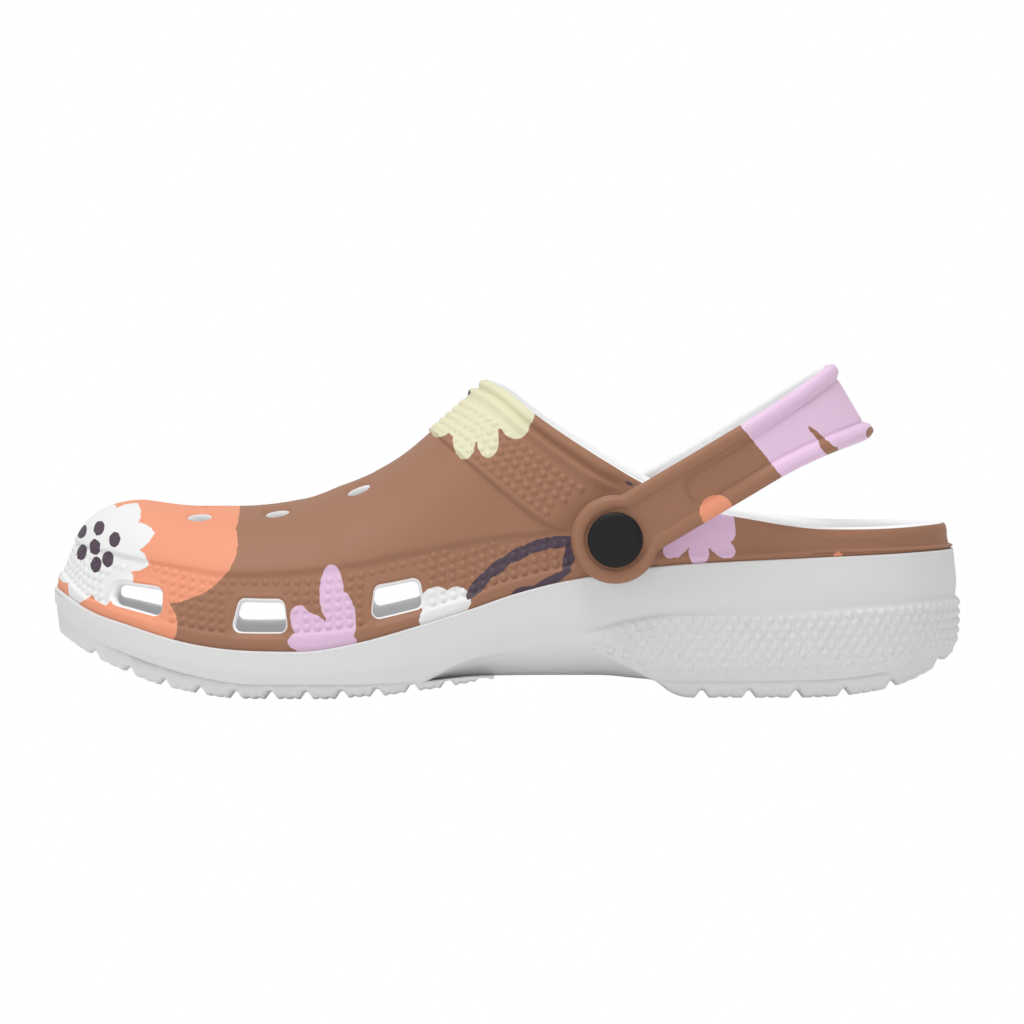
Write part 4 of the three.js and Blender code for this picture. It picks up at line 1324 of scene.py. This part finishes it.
class Shader:
    """A material whose nodes are made one call at a time."""

    def __init__(self, name):
        self.material = bpy.data.materials.new(name)
        self.material.use_nodes = True
        self.tree = self.material.node_tree
        self.tree.nodes.clear()
        self.turned = {}

    def node(self, kind, *inputs, output=0, named=None, **settings):
        """A node with its inputs by place or by name, each a value or another node's socket."""
        made = self.tree.nodes.new(kind)
        for key, value in settings.items():
            setattr(made, key, value)
        for key, value in [*enumerate(inputs), *(named or {}).items()]:
            if isinstance(value, bpy.types.NodeSocket):
                self.tree.links.new(value, made.inputs[key])
            else:
                made.inputs[key].default_value = value
        return made.outputs[output] if made.outputs else None

    def maths(self, operation, *inputs):
        return self.node("ShaderNodeMath", *inputs, operation=operation)

    def vector(self, operation, *inputs, output=0):
        return self.node("ShaderNodeVectorMath", *inputs, operation=operation, output=output)

    def coordinates(self):
        return self.node("ShaderNodeTexCoord", output="Object")

    def noise(self, coords, scale, detail, output):
        return self.node("ShaderNodeTexNoise", coords, output=output,
                         named={"Scale": scale, "Detail": detail})

    def place(self):
        """Object coordinates in millimetres, shaken a little to soften the print's edges."""
        coords = self.coordinates()
        shake = self.vector("SUBTRACT", self.noise(coords, 650, 1, "Color"), (0.5, 0.5, 0.5))
        moved = self.node("ShaderNodeVectorMath", coords, named={"Scale": 1 / MM},
                          operation="SCALE")
        return self.vector("MULTIPLY_ADD", shake, (NOISE_TO_MM,) * 3, moved)

    def rotated(self, place, degrees):
        """The same place turned about Y, so that an oval may lie at an angle."""
        if degrees not in self.turned:
            a = np.radians(degrees)
            along_x = self.vector("DOT_PRODUCT", place, (np.cos(a), 0, np.sin(a)), output=1)
            along_z = self.vector("DOT_PRODUCT", place, (-np.sin(a), 0, np.cos(a)), output=1)
            y = self.vector("DOT_PRODUCT", place, (0, 1, 0), output=1)
            self.turned[degrees] = self.node("ShaderNodeCombineXYZ", along_x, y, along_z)
        return self.turned[degrees]

    def oval(self, place, centre, radii, depth, degrees):
        """Distance field of an ellipsoid: under 1 inside it."""
        a = np.radians(degrees)
        c = (centre[0] * np.cos(a) + centre[2] * np.sin(a), centre[1],
             -centre[0] * np.sin(a) + centre[2] * np.cos(a))
        size = (radii[0], depth, radii[1])
        scale = tuple(1 / v for v in size)
        shift = tuple(-p / v for p, v in zip(c, size))
        source = self.rotated(place, degrees) if degrees else place
        return self.vector("LENGTH", self.vector("MULTIPLY_ADD", source, scale, shift), output=1)

    def flower(self, place, centre, radius, petals, dent, depth):
        """Distance field of a flower: its radius swings between petal tips and dents."""
        offset = self.vector("SUBTRACT", place, centre)
        x, _, z = self.node("ShaderNodeSeparateXYZ", offset).node.outputs
        turn = self.maths("ARCTAN2", z, x)
        wave = self.maths("PINGPONG", self.maths("MULTIPLY", turn, petals / (2 * np.pi)), 0.5)
        swell = self.maths("POWER", self.maths("MULTIPLY", wave, 2.0), 0.75)
        limit = self.maths("MULTIPLY_ADD", swell, dent, 1 - dent)
        scaled = self.vector("MULTIPLY", offset, (1 / radius, 1 / depth, 1 / radius))
        return self.maths("DIVIDE", self.vector("LENGTH", scaled, output=1), limit)

    def union(self, fields):
        total = fields[0]
        for field in fields[1:]:
            total = self.maths("MINIMUM", total, field)
        return total

    def layer(self, base, paint, mask):
        return self.node("ShaderNodeMix", mask, output=2, named={6: base, 7: paint},
                         data_type="RGBA")

    def over(self, base, paint, fields):
        """Paint laid over the base inside any of the fields."""
        return self.layer(base, paint, self.maths("LESS_THAN", self.union(fields), 1.0))

    def grain(self, scale, strength, distance):
        """Bump of fine noise on Object coordinates."""
        noise = self.noise(self.coordinates(), scale, 3, 0)
        return self.node("ShaderNodeBump", named={"Strength": strength, "Distance": distance,
                                                  "Height": noise})

    def finish(self, paint, roughness, bump, specular=0.22, glow=0.0):
        shader = self.node("ShaderNodeBsdfPrincipled", named={
            "Base Color": paint, "Roughness": roughness, "Specular IOR Level": specular,
            "Normal": bump, "Emission Color": (1, 1, 1, 1), "Emission Strength": glow})
        self.node("ShaderNodeOutputMaterial", shader)
        return self.material

    def finish_print(self, paint, grain_strength):
        """Print with white foam wherever the piece's own attribute says that it doesn't reach."""
        printed = self.node("ShaderNodeAttribute", output="Fac", attribute_name="printed")
        mask = self.maths("GREATER_THAN", printed, PRINT_THRESHOLD)
        # the unprinted white foam glows a little: painted light on the port walls, rims and inner
        # skin
        glow = self.maths("MULTIPLY", self.maths("SUBTRACT", 1.0, mask), PAINTED_FOAM_GLOW)
        paint = self.layer(FOAM_WHITE, paint, mask)
        return self.finish(paint, 0.52, self.grain(1300, grain_strength, 0.0004), glow=glow)


# ovals of the print on the outer side: x, z, half length, half height, turn in degrees
ORANGE_SHAPES = [(-106.3, 45.5, 26.9, 18.5), (-124, 36, 16, 14), (-106.3, 54.0, 26.9, 17.0),
                 (-118.3, 21.7, 21.2, 13.4)]
LILAC_SHAPES = [(-51.7, 31.5, 3.6, 8.4, 0), (-49.0, 23.1, 4.5, 9.0, 0),
                (-60.6, 23.1, 3.2, 4.8, 15), (-57.2, 21.4, 5.6, 3.6, -35),
                (-54.4, 17.2, 10.2, 4.2, 0), (50.5, 44.7, 4.2, 2.7, 30),
                (57.3, 43.5, 3.0, 4.2, 0), (64.2, 44.7, 4.2, 2.7, -30),
                (57.9, 48.5, 10.2, 4.2, 0), (62.9, 50.6, 5.2, 6.4, 0)]
WHITE_SHAPES = [(-20.6, 28.8, 4.8, 4.5, 0), (-14.6, 29.1, 4.2, 4.2, 0), (-17.9, 23.7, 7.8, 5.4, 0)]
PURPLE_SHAPES = [(-8.0, 33.9, 5.6, 1.8, 49), (-2.5, 39.0, 5.8, 1.8, 37),
                 (3.8, 42.9, 5.8, 1.8, 26), (10.0, 45.4, 5.6, 1.8, 16),
                 (15.6, 46.4, 4.6, 1.8, 8), (18.8, 42.3, 1.7, 5.6, -15),
                 (11.6, 33.9, 9.0, 1.5, 30), (5.1, 31.5, 3.6, 1.8, 15),
                 (-11.6, 89.8, 1.8, 0.9, 0), (36.6, 63.6, 1.3, 0.5, -30)]
CREAM_SHAPES = [(-19.2, 81.4, 3.8, 5.1, -20), (-12.4, 76.7, 3.4, 6.0, 0),
                (-5.4, 77.0, 3.3, 5.8, 0), (2.8, 81.7, 4.4, 5.0, 0), (-10.0, 81.3, 8.2, 5.6, 0),
                (-1.8, 87.4, 11.3, 7.2, -30), (-7.8, 90.3, 4.8, 6.0, 0)]
EYE_SHAPES = [(-126.3, 47.6), (-121.3, 49.1), (-116.5, 46.1), (-122.5, 43.8), (-126.6, 42.0),
              (-118.6, 40.5), (-122.2, 38.7)]
EYE_SIZE = (1.8, 2.4)
DAISY = (-121.4, 43.6)
DAISY_RADIUS = 18.4
# how far along Y each kind of shape reaches from its centre
SIDE_DEPTH = 45.0
THROUGH = 200
LEAF_DEPTH = 9
EYE_DEPTH = 6
INNER_DEPTH = 20
DAISY_DEPTH = 34
# the same kinds of shape on the inner side, placed freely
INNER_LILAC = [(-70, 40, 5, 9, 30), (-62, 30, 9, 4, 15), (70, 46, 9, 4, 0)]
INNER_WHITE = (-12, 36)
INNER_PURPLE = [(10, 42, 9, 1.6, 15), (14, 36, 9, 1.5, 30)]
INNER_CREAM = [(-9, 84, 9, 7, -30), (-14, 76, 2.7, 6, 0), (-6, 76, 2.7, 6, 0)]

# patches of the strap: place, half length and half height, depth, turn in degrees
STRAP_DOT = ((62.4, 0, 55.7), (5.1, 5.1), THROUGH, 0)
STRAP_SLIVERS = [((93.6, -40, 76.8), (5.2, 0.9), 40, -45), ((95.6, -40, 74.2), (3.4, 1.5), 40, -45),
                 ((96.8, -40, 73.3), (2.0, 1.1), 40, 15), ((108.7, 0, 77.8), (1.5, 1.8), 60, 0)]
HEEL_DOT = ((98.6, -36, 41.7), (1.5, 1.8), 20, 0)
SEAM_POINT = (69.6, 81.1)
SEAM_NORMAL = (0.779, 0.628)


def on_side(side, x, z):
    """The point of the upper over x and z of one side."""
    side, x, z = (np.array([float(value)]) for value in (side, x, z))
    return dome(side, *find(side, x, z))[0]


def printed_foam(name):
    """Brown foam with the flower print, laid as solid shapes through the piece's own space."""
    m = Shader(name)
    place = m.place()

    def centre(side, x, z):
        return (x, on_side(side, x, z)[1], z)

    def shapes(rows, side, depth=SIDE_DEPTH):
        return [m.oval(place, centre(side, x, z), (a, b), depth, turn) for x, z, a, b, turn in rows]

    orange = [m.oval(place, (x, 0, z), (a, b), THROUGH, 0) for x, z, a, b in ORANGE_SHAPES]
    paint = m.over(BROWN, ORANGE, orange + [m.oval(place, *HEEL_DOT)])
    paint = m.over(paint, LILAC, shapes(LILAC_SHAPES, -1) + shapes(INNER_LILAC, 1))
    daisy = m.flower(place, centre(-1, *DAISY), DAISY_RADIUS, 11, 0.24, DAISY_DEPTH)
    small = m.flower(place, centre(1, *INNER_WHITE), 11, 9, 0.25, INNER_DEPTH)
    paint = m.over(paint, WHITE, [daisy, small] + shapes(WHITE_SHAPES, -1))
    paint = m.over(paint, CREAM, shapes(CREAM_SHAPES, -1) + shapes(INNER_CREAM, 1))
    eyes = [(x, z, *EYE_SIZE, 0) for x, z in EYE_SHAPES]
    paint = m.over(paint, PURPLE, shapes(PURPLE_SHAPES, -1, LEAF_DEPTH)
                   + shapes(eyes, -1, EYE_DEPTH) + shapes(INNER_PURPLE, 1, INNER_DEPTH))
    return m.finish_print(paint, 0.12)


def printed_strap():
    """Brown foam that turns lilac behind a straight seam across the strap."""
    m = Shader("printed_strap")
    place = m.place()
    beyond = m.vector("DOT_PRODUCT", place, (SEAM_NORMAL[0], 0, SEAM_NORMAL[1]), output=1)
    behind = m.maths("GREATER_THAN", beyond, np.dot(SEAM_POINT, SEAM_NORMAL))
    paint = m.layer(BROWN, STRAP_LILAC, behind)
    paint = m.over(paint, ORANGE, [m.oval(place, *STRAP_DOT)])
    paint = m.over(paint, BROWN, [m.oval(place, *sliver) for sliver in STRAP_SLIVERS])
    return m.finish_print(paint, 0.1)


def plain_foam(name, paint, roughness, strength=0.1, glow=0.0):
    m = Shader(name)
    return m.finish(paint, roughness, m.grain(900, strength, 0.0005), glow=glow)


def black_plastic():
    m = Shader("black_plastic")
    return m.finish(BLACK, 0.55, m.grain(2200, 0.15, 0.0003), specular=0.3)


# ---- the object ----
def dress(obj, material, slot, body, *nodes):
    obj.data.materials.clear()
    obj.data.materials.append(material)
    if nodes:
        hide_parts(*nodes)
    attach(obj, body)


print_material = printed_foam("printed_foam")
strap_material = printed_strap()
sole_material = plain_foam("sole_foam", SOLE_GREY, 0.55)
# the footbed and its nubs glow with the same painted light
white_material = plain_foam("white_foam", FOAM_WHITE, 0.6, glow=PAINTED_FOAM_GLOW)
tread_material = plain_foam("tread_foam", SOLE_GREY, 0.65, 0.25)
black_material = black_plastic()

dress(make_upper(), print_material, "printed_foam", SHELL, "upper_shell")
dress(make_bumps(), print_material, "printed_foam", SHELL)
dress(make_midsole(), sole_material, "sole_foam", SHELL, "midsole")
dress(make_heel_bumps(), sole_material, "sole_foam", SHELL)
dress(make_tread("clog_forefoot_tread", -1, 48.7, FRONT_LUGS), tread_material, "tread_foam", SHELL,
      "forefoot_outsole")
dress(make_tread("clog_heel_tread", 66.4, 101, HEEL_LUGS), tread_material, "tread_foam", SHELL,
      "heel_outsole")
dress(make_footbed(), white_material, "white_foam", SHELL, "footbed")
dress(make_footbed_nubs(), white_material, "white_foam", SHELL)
dress(make_strap(), strap_material, "printed_strap_foam", STRAP, "heel_strap")
for side, label in ((-1, "lateral"), (1, "medial")):
    dress(make_cap(side, label), black_material, "black_plastic", SHELL, "rivet_cap_" + label)
    dress(make_back(side, label), black_material, "black_plastic", SHELL, "rivet_back_" + label)
    dress(make_seat(side, label), print_material, "printed_foam", SHELL)


# ---- floor, light and camera ----
FLOOR_HALF = 9000
FLOOR_HEIGHT = -0.6
SKY_STRENGTH = 0.62


def make_floor():
    """Wide white floor that glows for the camera and is plain white to everything else."""
    corners = np.array([(-1, -1), (1, -1), (1, 1), (-1, 1)]) * FLOOR_HALF
    verts = np.column_stack([corners, np.full(4, FLOOR_HEIGHT)])
    floor = make_object("floor", verts, [np.array([[0, 1, 2, 3]])])
    m = Shader("floor_white")
    seen = m.node("ShaderNodeLightPath", output="Is Camera Ray")
    plain = m.node("ShaderNodeBsdfDiffuse", (0.9, 0.9, 0.9, 1))
    glow = m.node("ShaderNodeEmission", (1, 1, 1, 1))
    m.node("ShaderNodeOutputMaterial", m.node("ShaderNodeMixShader", seen, plain, glow))
    floor.data.materials.append(m.material)
    return floor


def make_sky(strength):
    """White surroundings, full white to the camera and dimmer as light."""
    world = bpy.data.worlds.new("studio")
    world.use_nodes = True
    tree = world.node_tree
    background = tree.nodes["Background"]
    background.inputs[0].default_value = (1, 1, 1, 1)
    ray = tree.nodes.new("ShaderNodeLightPath")
    level = tree.nodes.new("ShaderNodeMapRange")
    level.inputs["To Min"].default_value = strength
    level.inputs["To Max"].default_value = 1.0
    tree.links.new(ray.outputs["Is Camera Ray"], level.inputs["Value"])
    tree.links.new(level.outputs[0], background.inputs[1])
    bpy.context.scene.world = world


def add_area(name, place, aim, size, power):
    data = bpy.data.lights.new(name, "AREA")
    data.shape = "DISK"
    data.size = size
    data.energy = power
    light = bpy.data.objects.new(name, data)
    light.location = place
    light.rotation_euler = (Vector(aim) - Vector(place)).to_track_quat("-Z", "Y").to_euler()
    bpy.context.scene.collection.objects.link(light)


make_floor()
make_sky(SKY_STRENGTH)
add_area("overhead", (-0.2, -0.35, 1.7), (0, 0, 0.03), 1.0, 17)
add_area("front_soft", (-0.9, -1.9, 0.9), (0, 0, 0.05), 1.2, 4)

AIM = Vector((0.0018, 0, 0.0539))
DISTANCE = 6
ELEVATION = np.radians(2.0)
camera_data = bpy.data.cameras.new("camera")
camera_data.sensor_width = 36
camera_data.lens = 706
camera_data.clip_end = 40
camera = bpy.data.objects.new("camera", camera_data)
camera.location = AIM + DISTANCE * Vector((0, -np.cos(ELEVATION), np.sin(ELEVATION)))
camera.rotation_euler = (AIM - camera.location).to_track_quat("-Z", "Y").to_euler()
bpy.context.scene.collection.objects.link(camera)
bpy.context.scene.camera = camera
bpy.context.scene.view_settings.view_transform = "Standard"
